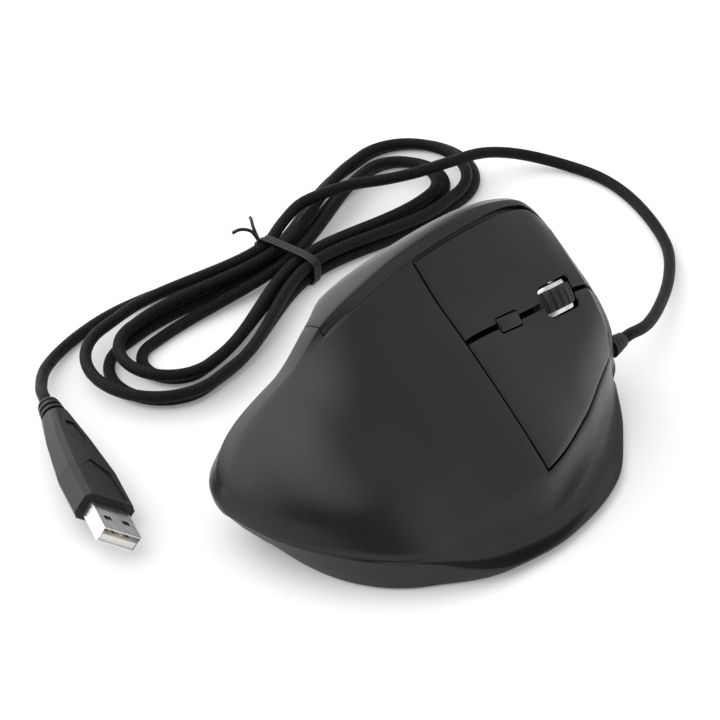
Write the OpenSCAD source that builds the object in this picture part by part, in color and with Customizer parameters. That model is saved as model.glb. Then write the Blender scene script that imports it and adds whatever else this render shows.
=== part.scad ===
// Wired vertical mouse for the right hand.
// The fingers point along +Y, the finger face looks to +X, and the thumb side looks to -X.
// The origin lies on the desk, under the middle of the body.

/* [Body] */
// Length of the body from heel to nose
body_l = 124; // [118:1:134]
// Width of the body over the skirt and the thumb rest
body_w = 76; // [73:1:85]
// Height of the ridge above the desk
body_h = 66; // [63:0.5:73]
// Wall of the moulded shells
wall = 2; // [1.6:0.1:2.4]
// Seam between two fixed covers
seam_gap = 0.5; // [0.3:0.05:0.7]
// Gap round a moving button
button_gap = 0.8; // [0.6:0.05:1]
// Gap along the split between the two main buttons
split_gap = 1.3; // [1:0.1:1.8]

/* [Base] */
// Thickness of the base floor
floor_t = 1.6; // [1.2:0.1:2.2]
// Thickness of the glide feet
glide_t = 0.6; // [0.4:0.1:1]
// Step from the skirt's lip in to the base wall
base_inset = 0.8; // [0.6:0.1:1.4]
// Share by which the base floor is smaller than the rim
base_shrink = 0.045; // [0.03:0.005:0.06]
// Further share for each millimetre of rim height, which draws the base in under the heel
base_taper = 0.009; // [0.006:0.001:0.012]

/* [Buttons] */
// Where the main buttons end at the back, along the body
button_rear = 4; // [2:0.5:8]
// How far the nose cover lies back under the front of the buttons
nose_step = 0.5; // [0.3:0.1:0.8]
// Where the main buttons end at the front
button_front = 57; // [55:0.2:58]
// Length of the DPI button
dpi_l = 8.4; // [7:0.2:10]
// Width of the DPI button
dpi_w = 4; // [3.4:0.1:5]
// Place of the DPI button along the body
dpi_y = 21.5; // [19:0.5:24]
// How far a thumb button stands proud
thumb_proud = 0.8; // [0.4:0.1:1.2]

/* [Wheel] */
// Radius of the tyre
wheel_r = 8.6; // [8:0.1:9]
// Width of the tyre
tyre_w = 6; // [5.4:0.1:6.4]
// Width of each bright rim
rim_w = 1.2; // [0.8:0.1:1.4]
// How far the tyre stands out of the finger face
wheel_proud = 2.3; // [1.8:0.1:2.8]
// Place of the wheel along the body
wheel_y = 42; // [41:0.5:43]
// Diameter of the axle pin
axle_d = 2; // [1.6:0.1:2.4]
// Ribs round the tyre
tyre_ribs = 22; // [20:1:40]

/* [Boards] */
// Depth of the tilted button board below the finger face
board_depth = 12.6; // [12:0.1:13.4]
// Thickness of every circuit board
board_t = 1.6; // [1:0.1:2]
// Height of the base board's standoffs above the floor
standoff_h = 5.8; // [5:0.1:7]
// Running clearance between moving pieces
clear = 0.15; // [0.1:0.05:0.25]
// Running clearance of the axle pin
pin_fit = 0.08; // [0.04:0.01:0.1]

/* [Cord] */
// Diameter of the braided cord
cord_d = 3.4; // [3:0.1:4]
// Loops in the hank
hank_loops = 4; // [2:2:6]
// Reach of the outer loop from the waist to its end
hank_reach = 82; // [70:1:90]
// Half width of the outer loop's lobe
hank_lobe = 20; // [17:0.5:24]
// Step from one run to the next
hank_step = 4.1; // [4:0.1:5]
// Thickness of the twist tie
tie_t = 0.8; // [0.6:0.1:1]

/* [Plug] */
// Width of the metal plug shell
usb_w = 12; // [12:0.1:12.2]
// Height of the metal plug shell
usb_h = 4.5; // [4.4:0.1:4.6]
// Length of the metal plug shell
usb_l = 12.4; // [11.8:0.1:13]
// Sheet of the metal plug shell
usb_t = 0.35; // [0.3:0.05:0.4]
// Width of the overmould
grip_w = 16; // [15:0.2:17]
// Height of the overmould
grip_h = 8.4; // [7.8:0.1:9]
// Length of the overmould with its neck
grip_l = 50; // [46:0.5:54]

/* [Hidden] */
eps = 0.01;

// Colours
charcoal = [0.13, 0.13, 0.14];
graphite = [0.22, 0.22, 0.23];
cord_black = [0.05, 0.05, 0.05];
steel = [0.78, 0.78, 0.8];
board_green = [0.05, 0.28, 0.14];

// Guide rails of the body: one [x, z] for each station, drawn for a body of the size below.
// Every rail runs from the heel to the nose.
drawn = [76, 124, 66];
grow = [body_w / drawn[0], body_l / drawn[1], body_h / drawn[2]];
station = [-60, -38, -26, -16, 4, 29, 46, 58];
// Lip of the skirt, on the little finger's side
lip = [[9.5, 12], [24.5, 9.6], [33, 5.6], [36.5, 3.6], [38, 3], [32.5, 3], [20.5, 4], [9, 7]];
// Foot of the finger face, where the skirt starts to flare
foot = [[9, 15.5], [21.5, 13.5], [23, 14.5], [25, 15.5], [28.5, 18], [20.5, 17], [12.5, 18], [7, 18]];
// Split between the index and middle finger
split = [[-4.5, 29.5], [0, 33.5], [-0.5, 37.5], [-1, 41], [-0.7, 45], [-0.7, 41.5], [-0.7, 39.5], [-0.7, 38]];
// Seam between the finger face and the ridge
seam = [[-28, 33.5], [-23, 44.5], [-22.5, 54], [-21, 58], [-20, 62.4], [-18, 64], [-18, 59.8], [-16, 50.4]];
// Brow of the ridge over the thumb side
crest = [[-36.5, 31], [-29.5, 42.5], [-27.6, 55.4], [-28.2, 60.6], [-26, 65], [-23.8, 65.1], [-22.2, 60],
    [-20, 51.6]];
// Edge along the top of the ridge: its share of the way from the seam to the crest, and its lift
edge_share = [0.6, 0.6, 0.45, 0.45, 0.55, 0.7, 0.7, 0.6];
edge_lift = [0.6, 0.8, 1.2, 1.2, 1, 0.6, 0.5, 0.4];
// How far the brow runs on from the crest, out and down
brow = [1.5, 2, 3.5, 8, 9, 5, 2, 1];
// Edge of the thumb rest
rest = [[-38, 10.5], [-37.6, 8], [-37.5, 7], [-37.5, 5], [-37.5, 4], [-33, 4], [-25, 5], [-17, 7]];
// Crown of the finger face below and above the split, and hollow of the thumb side (below zero it swells)
crown = [2, 1.8, 1.8, 1.5, 0.5, 1.5, 2, 2];
shoulder = [1.5, 1.3, 0.5, -0.1, -0.7, -0.1, 0.2, 0.2];
scoop = [-5.2, -3.2, 0, 3, 6, 6, 4, 3];
// Flare of the skirt, from none to full, and how far the thumb side tucks in above its rest
flare = [-0.3, 0.3, 1, 1, 1, 1, 1, 1];
tuck = [-3.5, 1, 3.5, 4, 4, 4, 4, 4];
// Round ends: where the rounding starts, where it closes, its fullness and the tip it closes on
heel_end = [-38, -62, 2.3, [-22, 14]];
nose_end = [46, 62.5, 2.6, [2, 13.5]];

// Value at y of a rail given at the stations, as a smooth curve through its points
function slope(r, k) =
    let (a = max(k - 1, 0), b = min(k + 1, len(r) - 1))
    (r[b] - r[a]) / (station[b] - station[a]);
function along(r, y) =
    let (q = min(max(y, station[0]), station[len(station) - 1]),
        k = [for (i = [0:len(station) - 2]) if (q <= station[i + 1]) i][0],
        h = station[k + 1] - station[k],
        t = (q - station[k]) / h)
    r[k] * (2 * t ^ 3 - 3 * t ^ 2 + 1) + slope(r, k) * h * (t ^ 3 - 2 * t ^ 2 + t)
    + r[k + 1] * (3 * t ^ 2 - 2 * t ^ 3) + slope(r, k + 1) * h * (t ^ 3 - t ^ 2);
// Point between two rail points, pushed out by a crown
function bowed(a, b, out) = let (d = b - a) (a + b) / 2 + [d[1], -d[0]] / norm(d) * out;
// The thirteen points of the section at y, from the skirt's lip over the ridge to the thumb rest
function rail_points(y) =
    let (l = along(lip, y), f = along(foot, y), s = along(split, y), m = along(seam, y),
        c = along(crest, y), r = along(rest, y), w = along(crown, y), k = along(scoop, y),
        g = along(flare, y),
        h = c[1] - r[1], e = m + (c - m) * along(edge_share, y) + [0, along(edge_lift, y)],
        o = c - [0.68, 0.73] * along(brow, y))
    [l, l + [(0.5 + 0.08 * g) * (f[0] - l[0]), (0.5 - 0.24 * g) * (f[1] - l[1])], f, bowed(f, s, w), s,
        bowed(s, m, along(shoulder, y)),
        m, e, o, [c[0] - 1 + min(k, 0) / 2, c[1] - 0.22 * h], [c[0] + k - 2, c[1] - 0.58 * h],
        [r[0] + along(tuck, y), r[1] + 0.13 * h], r];
function end_share(y, e) =
    let (t = (y - e[0]) / (e[1] - e[0])) t <= 0 ? 1 : (1 - min(t, 1) ^ e[2]) ^ (1 / e[2]);
function closed_on(pts, y, e) =
    let (s = end_share(y, e)) s == 1 ? pts : [for (p = pts) e[3] + (p - e[3]) * s];
function section(y) = closed_on(closed_on(rail_points(y), y, heel_end), y, nose_end);
// Point of a section at v, where whole numbers are the rails
function on_section(p, v) =
    let (i = min(max(floor(v), 0), len(p) - 2), t = v - i, a = p[i], b = p[i + 1],
        z = i > 0 ? p[i - 1] : 2 * a - b, c = i + 2 < len(p) ? p[i + 2] : 2 * b - a)
    (2 * a + (b - z) * t + (2 * z - 5 * a + 4 * b - c) * t ^ 2 + (3 * a - z - 3 * b + c) * t ^ 3) / 2;
function placed(q, y) = [q[0] * grow[0], y * grow[1], q[1] * grow[2]];
// The body's surface and its outward normal, in drawn y and rail number v
function surface_at(y, v) = placed(on_section(section(y), v), y);
function unit(a) = a / norm(a);
function normal_at(y, v) =
    let (d = 0.05, q = min(max(y, heel_end[1] + 2 * d), nose_end[1] - 2 * d),
        v0 = max(v - d, 0), v1 = min(v + d, 12))
    y <= heel_end[1] ? [0, -1, 0] : y >= nose_end[1] ? [0, 1, 0]
    : unit(cross(surface_at(q + d, v) - surface_at(q - d, v), surface_at(q, v1) - surface_at(q, v0)));
// Rail steps for one millimetre, near y and v
function per_mm(y, v) = 1 / norm(surface_at(y, v + 0.5) - surface_at(y, v - 0.5));

// Grid lines along the body and round the section, with a pair of lines at each seam
rear_y = button_rear;
front_y = button_front;
cover_y = -27;
// Drawn length of one real millimetre along the body
y_mm = 1 / grow[1];
g = seam_gap / 2 * y_mm;
steep = button_gap / 2 * y_mm;
nose_y = front_y + 2 * steep;
dpi_slot = (dpi_l / 2 + 0.4) * y_mm;
dpi_rise = (dpi_w / 2 + 0.4) * per_mm(dpi_y, 4);
split_rise = split_gap / 2 * per_mm(wheel_y, 4);
foot_rise = button_gap / 2 * per_mm(25, 2);
seam_rise = seam_gap / 2 * per_mm(25, 6);
seam_open = (button_gap + 0.2) * per_mm(25, 6);
// Thumb buttons: [start, end] along the body, and the rail band that both lie in
back_span = [-13, 2.6];
forward_span = [4, 20];
thumb_band = [8.75, 9.4];
thumb_rise = button_gap / 2 * per_mm(4, 9);
tail_lines = [for (t = [0:10:80]) heel_end[0] + (heel_end[1] - heel_end[0]) * cos(t)];
head_lines = [for (t = [25:21.5:90]) nose_y + (nose_end[1] - nose_y) * sin(t)];
y_lines = concat([heel_end[1]], [for (i = [1:len(tail_lines) - 1]) tail_lines[i]],
    [heel_end[0], -32, cover_y - steep, cover_y + steep, -20, back_span[0] - steep,
    back_span[0] + steep, -5, back_span[1] - steep, (back_span[1] + forward_span[0]) / 2,
    rear_y - g + 0.3, rear_y + g + 0.3, 10.5, dpi_y - dpi_slot, forward_span[1] - steep,
    forward_span[1] + steep, dpi_y + dpi_slot, 31, 36, wheel_y,
    46, 49.5, 52, 54.5, front_y, nose_y], head_lines);
v_lines = [0, 0.25, 0.5, 0.8, 1.2, 1.6, 2 - foot_rise, 2 + foot_rise, 2.4, 2.8, 3.25, 3.6,
    4 - dpi_rise, 4 - split_rise, 4 + split_rise, 4 + dpi_rise, 4.4, 4.8, 5.2, 5.6,
    6 - seam_open, 6 - seam_rise, 6 + seam_rise, 6.5, 7, 7.4, 7.75, 8, 8.3, thumb_band[0] - thumb_rise,
    thumb_band[0] + thumb_rise, 9.05, thumb_band[1] - thumb_rise, thumb_band[1] + thumb_rise, 9.7, 10.1, 10.5,
    11, 11.4, 11.7, 12];
// The wall thins towards the lip of the skirt and the edge of the thumb rest
function wall_at(v) = wall * min(1, 0.3 + 0.9 * min(v, 12 - v));
function wall_point(y, v, out) = surface_at(y, v) + normal_at(y, v) * out;

// Closed shell over the grid cells that keep(y, v) picks by their middles, its outside raised by proud
module shell(keep, proud = 0, thick = 1) {
    ny = len(y_lines);
    nv = len(v_lines);
    outer = [for (y = y_lines) for (v = v_lines) wall_point(y, v, proud)];
    inner = [for (y = y_lines) for (v = v_lines) wall_point(y, v, -wall_at(v) * thick)];
    in = [for (i = [0:ny - 2]) [for (j = [0:nv - 2])
        keep((y_lines[i] + y_lines[i + 1]) / 2, (v_lines[j] + v_lines[j + 1]) / 2)]];
    // Points on a tip are one point
    function at(i, j) = i * nv + (i == 0 || i == ny - 1 ? 0 : j);
    function deep(i, j) = at(i, j) + ny * nv;
    function has(i, j) = i >= 0 && j >= 0 && i < ny - 1 && j < nv - 1 && in[i][j];
    cells = [for (i = [0:ny - 2]) for (j = [0:nv - 2]) if (in[i][j]) [i, j]];
    tris = [for (c = cells)
        let (i = c[0], j = c[1], a = at(i, j), b = at(i + 1, j), d = at(i, j + 1), e = at(i + 1, j + 1),
            p = deep(i, j), q = deep(i + 1, j), r = deep(i, j + 1), s = deep(i + 1, j + 1))
        each concat([[a, d, e], [a, e, b], [p, s, r], [p, q, s]],
            has(i, j - 1) ? [] : [[a, b, q], [a, q, p]],
            has(i, j + 1) ? [] : [[e, d, r], [e, r, s]],
            has(i - 1, j) ? [] : [[d, a, p], [d, p, r]],
            has(i + 1, j) ? [] : [[b, e, s], [b, s, q]])];
    faces = [for (t = tris) if (t[0] != t[1] && t[1] != t[2] && t[2] != t[0]) t];
    polyhedron(points = concat(outer, inner), faces = faces, convexity = 8);
}

// Frame of the finger face at the wheel: down the face, forward, and out
face_o = surface_at(wheel_y, 4);
face_n = normal_at(wheel_y, 4);
face_f = let (t = surface_at(wheel_y + 6, 4) - surface_at(wheel_y - 14, 4)) unit(t - face_n * (t * face_n));
face_d = cross(face_f, face_n);
module on_face() {
    multmatrix([for (k = [0:2]) [face_d[k], face_f[k], face_n[k], face_o[k]]]) children();
}
function face_point(d, f, n) = face_o + face_d * d + face_f * f + face_n * n;
// Face coordinates of a point of the body
function in_face(p) = [(p - face_o) * face_d, (p - face_o) * face_f, (p - face_o) * face_n];

// Wheel and its bracket, in the face frame
axle_n = wheel_proud - wheel_r;
press = 0.4;
wheel_half = tyre_w / 2 + rim_w;
board_n = -board_depth;
board_hole = wheel_half + 0.7;
post_in = wheel_half + 1.6;
// Edge of the tilted board, clear of the thumb cover
board_clear = 2.6;
function thumb_wall_d(y) = max([for (v = [8.4:0.05:10.2])
    let (p = in_face(wall_point(y, v, -wall))) if (abs(p[2] - board_n) < 0.9) p[0]]);
board_left = max([for (y = [16, 24, 32, 38, 44]) thumb_wall_d(y)]) + board_clear;
post_t = 1.6;
axle_out = post_in + post_t + 3.4;

// Micro switches under the main buttons, at rail v and drawn y
switch_size = [5.8, 12.8, 6.5];
plunger_rise = 1;
left_spot = in_face(surface_at(wheel_y - 11 * y_mm, 4.72));
right_spot = in_face(surface_at(wheel_y - 13.5 * y_mm, 3.35));
plunger_top = board_n + switch_size[2] + plunger_rise;
// Small tactile switches: side, height, stem radius and rise
tact_side = 4.5;
tact_h = 2.2;
stem_r = 0.9;

// DPI button, in the face frame
dpi_spot = in_face(surface_at(dpi_y, 4));
dpi_turn = let (a = in_face(surface_at(dpi_y - 4, 4)), b = in_face(surface_at(dpi_y + 4, 4)))
    -atan2(b[0] - a[0], b[1] - a[1]);

// Thumb side: the board stands upright behind the two buttons
thumb_x = surface_at(4, 9)[0];
thumb_z = (surface_at(4, thumb_band[0])[2] + surface_at(4, thumb_band[1])[2]) / 2;
thumb_board_x = thumb_x + wall + 6;
thumb_board_h = 7;
back_y = (back_span[0] + back_span[1]) / 2 * grow[1];
forward_y = (forward_span[0] + forward_span[1]) / 2 * grow[1];

// Base
base_z = glide_t;
floor_z = base_z + floor_t;
rim_right = [for (y = y_lines) surface_at(y, 0)];
rim_left = [for (i = [len(y_lines) - 2:-1:1]) surface_at(y_lines[i], 12)];
rim = concat(rim_right, rim_left);
function flat(p) = [p[0], p[1]];
// Rim moved inwards in plan
function inset(k, by) =
    let (n = len(rim), t = unit(flat(rim[(k + 1) % n] - rim[(k + n - 1) % n])))
    flat(rim[k]) + [-t[1], t[0]] * by;
board_z = floor_z + standoff_h;
// Rim drawn in towards the middle of the base, more where the rim is high on the thumb's side
base_mid = [-6, 0];
function thumbward(x) = ease(min(max((24 * grow[0] - x) / (44 * grow[0]), 0), 1));
function drawn_in(k, by) =
    base_mid + (flat(rim[k]) - base_mid)
        * (1 - base_shrink - base_taper * rim[k][2] * thumbward(rim[k][0]) - by);
base_board_size = [40, 46];
base_board_at = [-1, -11 * grow[1]];
sensor_at = [2, base_board_at[1] + 5];
standoffs = [for (sx = [-1, 1]) for (sy = [-1, 1])
    base_board_at + [sx * (base_board_size[0] / 2 - 4), sy * (base_board_size[1] / 2 - 4)]];
stand_y = [17, 43] * grow[1];

// Cord
relief_at = surface_at(nose_end[1], 0);
relief_out = 5.5;
lead_route = [[0.5, 81, 11], [-6, 95.5, 7.4], [-15, 111, 4.4], [-26, 124.5, 2.4], [-39, 133.5, 1.8],
    [-53, 139.5, 1.8], [-65, 141.5, 1.8], [-76, 139.5, 2.2], [-85, 133.5, 4.5], [-89.5, 125.5, 7.8],
    [-92, 116.5, 10.6], [-94.5, 105.5, 11.6], [-98, 95, 11.6], [-102.5, 86, 11.6], [-107.5, 78, 11.6],
    [-111, 69.5, 11.2], [-113.3, 61.5, 10.2], [-112.7, 53.5, 8.2]];
tail_route = [[-110.7, 33.5, 2.6], [-113.5, 27, 2.2], [-118, 17, 1.8], [-121.5, 6, 1.8], [-123.5, -9, 1.8],
    [-122, -25, 2], [-117, -38.5, 3.4], [-109, -48, 6]];
hank_at = [-100.5, 43.5];
hank_turn = 5;
tie_gap = 0.3;
hank_lift = tie_t + tie_gap;
// Each loop inwards is shorter and narrower by these, and has its full width at this distance from the waist
hank_short = 5;
hank_narrow = 6;
hank_spread = hank_reach - hank_lobe - hank_short * hank_loops / 2 - 2;
// Half turns of one loop: three steps of run, six round an end, six of run, six round, three of run
run_share = 3 / 24;
function ease(t) = t * t * (3 - 2 * t);
// Rank counts loops inwards; the second half of the loops lies on the first and spirals out
function hank_rank(t) = hank_loops / 2 - abs(t - hank_loops / 2);
function hank_layer(t) = ease(min(max((t - hank_loops / 2) / (2 * run_share) + 0.5, 0), 1));
function hank_local(t) =
    let (r = hank_rank(t), up = hank_layer(t), q = t - floor(t),
        b = hank_lobe - hank_narrow * r + 1.8 * up,
        w = 1.1 + hank_step * (hank_loops / 2 - r),
        c = hank_reach - hank_lobe - hank_short * r - 2 * up,
        part = q < run_share ? 0 : q < 3 * run_share ? 1 : q < 5 * run_share ? 2 : q < 7 * run_share ? 3 : 4,
        s = part == 0 ? c * q / run_share
            : part == 2 ? c * (4 * run_share - q) / run_share
            : part == 4 ? c * (q - 1) / run_share : 0,
        turn = part == 1 ? 90 * (q / run_share - 2) : 90 * (q / run_share - 6),
        spread = ease(min(abs(s) / hank_spread, 1)),
        side = w + (b - w) * spread)
    part == 1 ? [b * sin(turn), c + b * cos(turn), up, 0]
    : part == 3 ? [-b * sin(turn), -c - b * cos(turn), up, 0]
    : [part == 2 ? side : -side, s, up, 1 - spread];
function hank_point(t) =
    let (p = hank_local(t))
    [hank_at[0] + p[0] * cos(hank_turn) - p[1] * sin(hank_turn),
        hank_at[1] + p[0] * sin(hank_turn) + p[1] * cos(hank_turn),
        cord_d / 2 + 0.05 + hank_lift * p[3] + (hank_step - 0.1) * p[2]];
hank_dir = [-sin(hank_turn), cos(hank_turn), 0];
hank_first = hank_point(0);
hank_last = hank_point(hank_loops - eps / 100);

// Plug, with its axis level and its flat sides rolled over
plug_at = [-54.5, -77.5, grip_h];
plug_turn = -27;
plug_roll = -34;
plug_dir = [cos(plug_turn), sin(plug_turn), 0];
neck_at = plug_at - plug_dir * grip_l;
module in_plug() {
    translate(plug_at) rotate([0, 0, plug_turn]) rotate([plug_roll, 0, 0]) children();
}

// Smooth path through points, with steps to each stretch
function between(p, i, t) =
    let (n = len(p), a = p[i], b = p[i + 1], z = i > 0 ? p[i - 1] : 2 * a - b,
        c = i + 2 < n ? p[i + 2] : 2 * b - a)
    (2 * a + (b - z) * t + (2 * z - 5 * a + 4 * b - c) * t ^ 2 + (3 * a - z - 3 * b + c) * t ^ 3) / 2;
function smooth(p, steps) =
    concat([for (i = [0:len(p) - 2]) for (k = [0:steps - 1]) between(p, i, k / steps)], [p[len(p) - 1]]);
// Tube of a given number of sides along a path; its end faces are square to dir_a and dir_b
module tube(path, d, sides, dir_a, dir_b) {
    n = len(path);
    rings = [for (i = [0:n - 1])
        let (t = i == 0 ? dir_a : i == n - 1 ? dir_b : unit(path[i + 1] - path[i - 1]),
            s = unit(cross(t, [0, 0, 1])), u = cross(s, t))
        each [for (k = [0:sides - 1])
            path[i] + (s * cos(360 * k / sides) + u * sin(360 * k / sides)) * d / 2]];
    walls = [for (i = [0:n - 2]) for (k = [0:sides - 1])
        let (a = i * sides + k, b = i * sides + (k + 1) % sides)
        each [[a, b, b + sides], [a, b + sides, a + sides]]];
    caps = [for (k = [1:sides - 2]) each [[0, k + 1, k], [(n - 1) * sides, (n - 1) * sides + k,
        (n - 1) * sides + k + 1]]];
    polyhedron(points = rings, faces = concat(walls, caps), convexity = 10);
}

// Shells of the body
module upper_shell() {
    color(charcoal)
        shell(function (y, v) y < cover_y - steep || (y < rear_y && v < 6 - seam_rise)
            || (y < front_y && v < 2 - foot_rise));
}

module nose_cover() {
    color(charcoal)
        difference() {
            shell(function (y, v) y > nose_y && !(abs(v - 4) < split_rise && y < 60), -nose_step);
            translate(relief_at + [0, -8, 0])
                rotate([-90, 0, 0])
                    cylinder(h = 12, r = cord_d / 2 + 0.5, $fn = 32);
        }
}

module thumb_cover() {
    color(graphite) {
        shell(function (y, v) y > cover_y + steep && y < front_y && v > 6 + seam_rise
            && !(v > thumb_band[0] - thumb_rise && v < thumb_band[1] + thumb_rise
                && y > back_span[0] - steep && y < forward_span[1] + steep));
    }
}

// Main button between two rails, cut out for the wheel
module main_button(low, high, spot) {
    color(charcoal)
        union() {
            difference() {
                shell(function (y, v) y > rear_y + g + 0.3 && y < front_y && v > low && v < high
                    && !(abs(y - dpi_y) < dpi_slot && abs(v - 4) < dpi_rise));
                on_axle()
                    cylinder(h = 2 * wheel_half + 1, r = wheel_r + 0.5, center = true, $fn = 96);
            }
            presser(spot);
        }
}

module left_button() {
    main_button(4 + split_rise, 6 - seam_open, left_spot);
}

module right_button() {
    main_button(2 + foot_rise, 4 - split_rise, right_spot);
}

// Rib under a main button that meets its switch
module presser(spot) {
    low = plunger_top + clear;
    on_face()
        translate([spot[0], spot[1], low])
            cylinder(h = spot[2] - wall / 2 - low, r = 1.5, $fn = 24);
}

module dpi_button() {
    cap_n = dpi_spot[2] + 0.5;
    stem_n = board_n + tact_h + 1.2 + clear;
    color(charcoal)
        on_face()
            translate([dpi_spot[0], dpi_spot[1], 0])
                rotate([0, 0, dpi_turn]) {
                    difference() {
                        translate([0, 0, cap_n - 2.6])
                            linear_extrude(2.6)
                                grip_outline(dpi_w, dpi_l, 0.7);
                        for (s = [-1, 1])
                            translate([s * dpi_w / 2, 0, cap_n])
                                rotate([0, 45, 0])
                                    cube([0.8, 2 * dpi_l, 0.8], center = true);
                    }
                    translate([0, 0, stem_n])
                        cylinder(h = cap_n - 2 - stem_n, r = 1.2, $fn = 24);
                }
}

// Thumb button over a span, with the stem that reaches its switch
module thumb_button(span, y) {
    stem_x = thumb_board_x - tact_h - 1.2 - clear;
    color(graphite)
        union() {
            shell(function (q, v) q > span[0] + steep && q < span[1] - steep
                && v > thumb_band[0] + thumb_rise && v < thumb_band[1] - thumb_rise, thumb_proud);
            translate([thumb_x + wall / 2, y, thumb_z])
                rotate([0, 90, 0])
                    cylinder(h = stem_x - thumb_x - wall / 2, r = 1.4, $fn = 24);
        }
}

module forward_button() {
    thumb_button([back_span[1], forward_span[1]], forward_y);
}

module back_button() {
    thumb_button([back_span[0], back_span[1]], back_y);
}

// Cup from the desk up to the rim
module base_shell() {
    n = len(rim);
    ring = [for (k = [0:n - 1]) let (z = max(0.88 * rim[k][2] - 0.7, floor_z + 0.1), p = inset(k, base_inset),
        q = drawn_in(k, 0), r = inset(k, base_inset + wall), s = drawn_in(k, 0.04))
        [[q[0], q[1], base_z], [p[0], p[1], z], [r[0], r[1], z], [s[0], s[1], floor_z]]];
    points = concat([for (j = [0:3]) each [for (k = [0:n - 1]) ring[k][j]]],
        [[0, 0, base_z], [0, 0, floor_z]]);
    walls = [for (j = [0:2]) for (k = [0:n - 1])
        let (a = j * n + k, b = j * n + (k + 1) % n)
        each [[a, a + n, b + n], [a, b + n, b]]];
    bottom = [for (k = [0:n - 1]) [4 * n, k, (k + 1) % n]];
    top = [for (k = [0:n - 1]) [4 * n + 1, 3 * n + (k + 1) % n, 3 * n + k]];
    color(graphite)
        difference() {
            union() {
                polyhedron(points = points, faces = concat(walls, bottom, top), convexity = 6);
                for (p = standoffs)
                    translate([p[0], p[1], floor_z - 0.5])
                        cylinder(h = standoff_h + 0.5, r = 2.4, $fn = 24);
            }
            for (p = standoffs)
                translate([p[0], p[1], floor_z])
                    cylinder(h = standoff_h + 1, r = 0.95, $fn = 24);
            translate([sensor_at[0] - 4, sensor_at[1] - 5, base_z - 1])
                cube([8, 10, floor_t + 2]);
            translate(relief_at + [0, -14, 0])
                rotate([-90, 0, 0])
                    cylinder(h = 10, r = cord_d / 2 + 1.4, $fn = 32);
            translate(relief_at + [0, -5, 0])
                rotate([-90, 0, 0])
                    cylinder(h = 9, r = cord_d / 2 + 0.5, $fn = 32);
        }
}

module glide_feet() {
    color([0.1, 0.1, 0.1]) {
        for (p = [[2, 43, 8], [-6, -40, 18], [-24, 4, 8], [22, 4, 8]])
            translate([p[0] * grow[0], p[1] * grow[1], 0])
                linear_extrude(glide_t)
                    union() {
                        square([p[2], 7], center = true);
                        for (s = [-1, 1])
                            translate([s * p[2] / 2, 0])
                                circle(d = 7, $fn = 32);
                    }
    }
}

// Wheel, built round the axle
module on_axle() {
    on_face()
        translate([0, 0, axle_n])
            rotate([0, 90, 0])
                children();
}

module wheel_tyre() {
    tyre_in = wheel_r - 2.4;
    color(cord_black)
        on_axle()
            difference() {
                cylinder(h = tyre_w, r = wheel_r, center = true, $fn = 96);
                cylinder(h = tyre_w + 1, r = tyre_in, center = true, $fn = 96);
                for (k = [0:tyre_ribs - 1])
                    rotate([0, 0, 360 * k / tyre_ribs])
                        translate([wheel_r - 0.5, -0.35, -tyre_w])
                            cube([2, 0.7, 2 * tyre_w]);
            }
}

module wheel_hub() {
    hub_r = wheel_r - 2.4;
    color(graphite)
        on_axle()
            difference() {
                union() {
                    cylinder(h = tyre_w, r = hub_r, center = true, $fn = 96);
                    cylinder(h = 2 * wheel_half, r = 2.6, center = true, $fn = 48);
                }
                cylinder(h = 2 * wheel_half + 1, r = axle_d / 2 + pin_fit, center = true, $fn = 48);
                for (k = [0:11])
                    rotate([0, 0, 30 * k])
                        translate([3.8, -0.6, -tyre_w])
                            cube([hub_r - 3.8 - 1.2, 1.2, 2 * tyre_w]);
            }
}

module wheel_rims() {
    color(steel)
        on_axle()
            for (s = [-1, 1])
                translate([0, 0, s * (tyre_w + rim_w) / 2])
                    difference() {
                        cylinder(h = rim_w, r = wheel_r - 0.9, center = true, $fn = 64);
                        cylinder(h = rim_w + 1, r = wheel_r - 3.4, center = true, $fn = 64);
                    }
}

module wheel_axle() {
    color(steel)
        on_axle()
            cylinder(h = 2 * axle_out, r = axle_d / 2, center = true, $fn = 48);
}

// Two slotted posts that stand on the button board
module wheel_bracket() {
    slot_w = axle_d / 2 + pin_fit;
    color(graphite)
        on_face()
            difference() {
                for (s = [-1, 1])
                    translate([s * (post_in + post_t / 2) - post_t / 2, -3, board_n])
                        cube([post_t, 6, axle_n - board_n + 2.6]);
                for (n = [0, -press])
                    translate([-axle_out - 1, 0, axle_n + n])
                        rotate([0, 90, 0])
                            cylinder(h = 2 * axle_out + 2, r = slot_w, $fn = 48);
                translate([-axle_out - 1, -slot_w, axle_n - press])
                    cube([2 * axle_out + 2, 2 * slot_w, press]);
            }
}

// Emitter and detector, which look at each other through the hub's slots
module wheel_sensor() {
    color([0.08, 0.08, 0.1])
        on_face()
            for (s = [-1, 1])
                translate([s * (wheel_half + 1.6) - 0.8, 4, board_n])
                    cube([1.6, 4, axle_n - board_n + 2.5]);
}

module button_board() {
    color(board_green)
        on_face()
            translate([0, 0, board_n - board_t])
                linear_extrude(board_t)
                    difference() {
                        polygon([[board_left, -31], [15, -31], [15, 9.6], [board_left + 3, 9.6],
                            [board_left + 3, 4], [board_left, 3]]);
                        translate([-board_hole, -wheel_r - 0.6])
                            square([2 * board_hole, 2 * wheel_r + 2]);
                    }
}

// Upright sheet at y from a floor up to the underside of the tilted board, between d0 and d1
module upright(y, t, d0, d1, low) {
    f = (y + t - face_o[1]) / face_f[1];
    a = face_point(d0, f, board_n - board_t - 0.3);
    b = face_point(d1, f, board_n - board_t - 0.3);
    translate([0, y + t, 0])
        rotate([90, 0, 0])
            linear_extrude(t)
                polygon([[a[0], low], [b[0], low], [b[0], b[2]], [a[0], a[2]]]);
}

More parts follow.
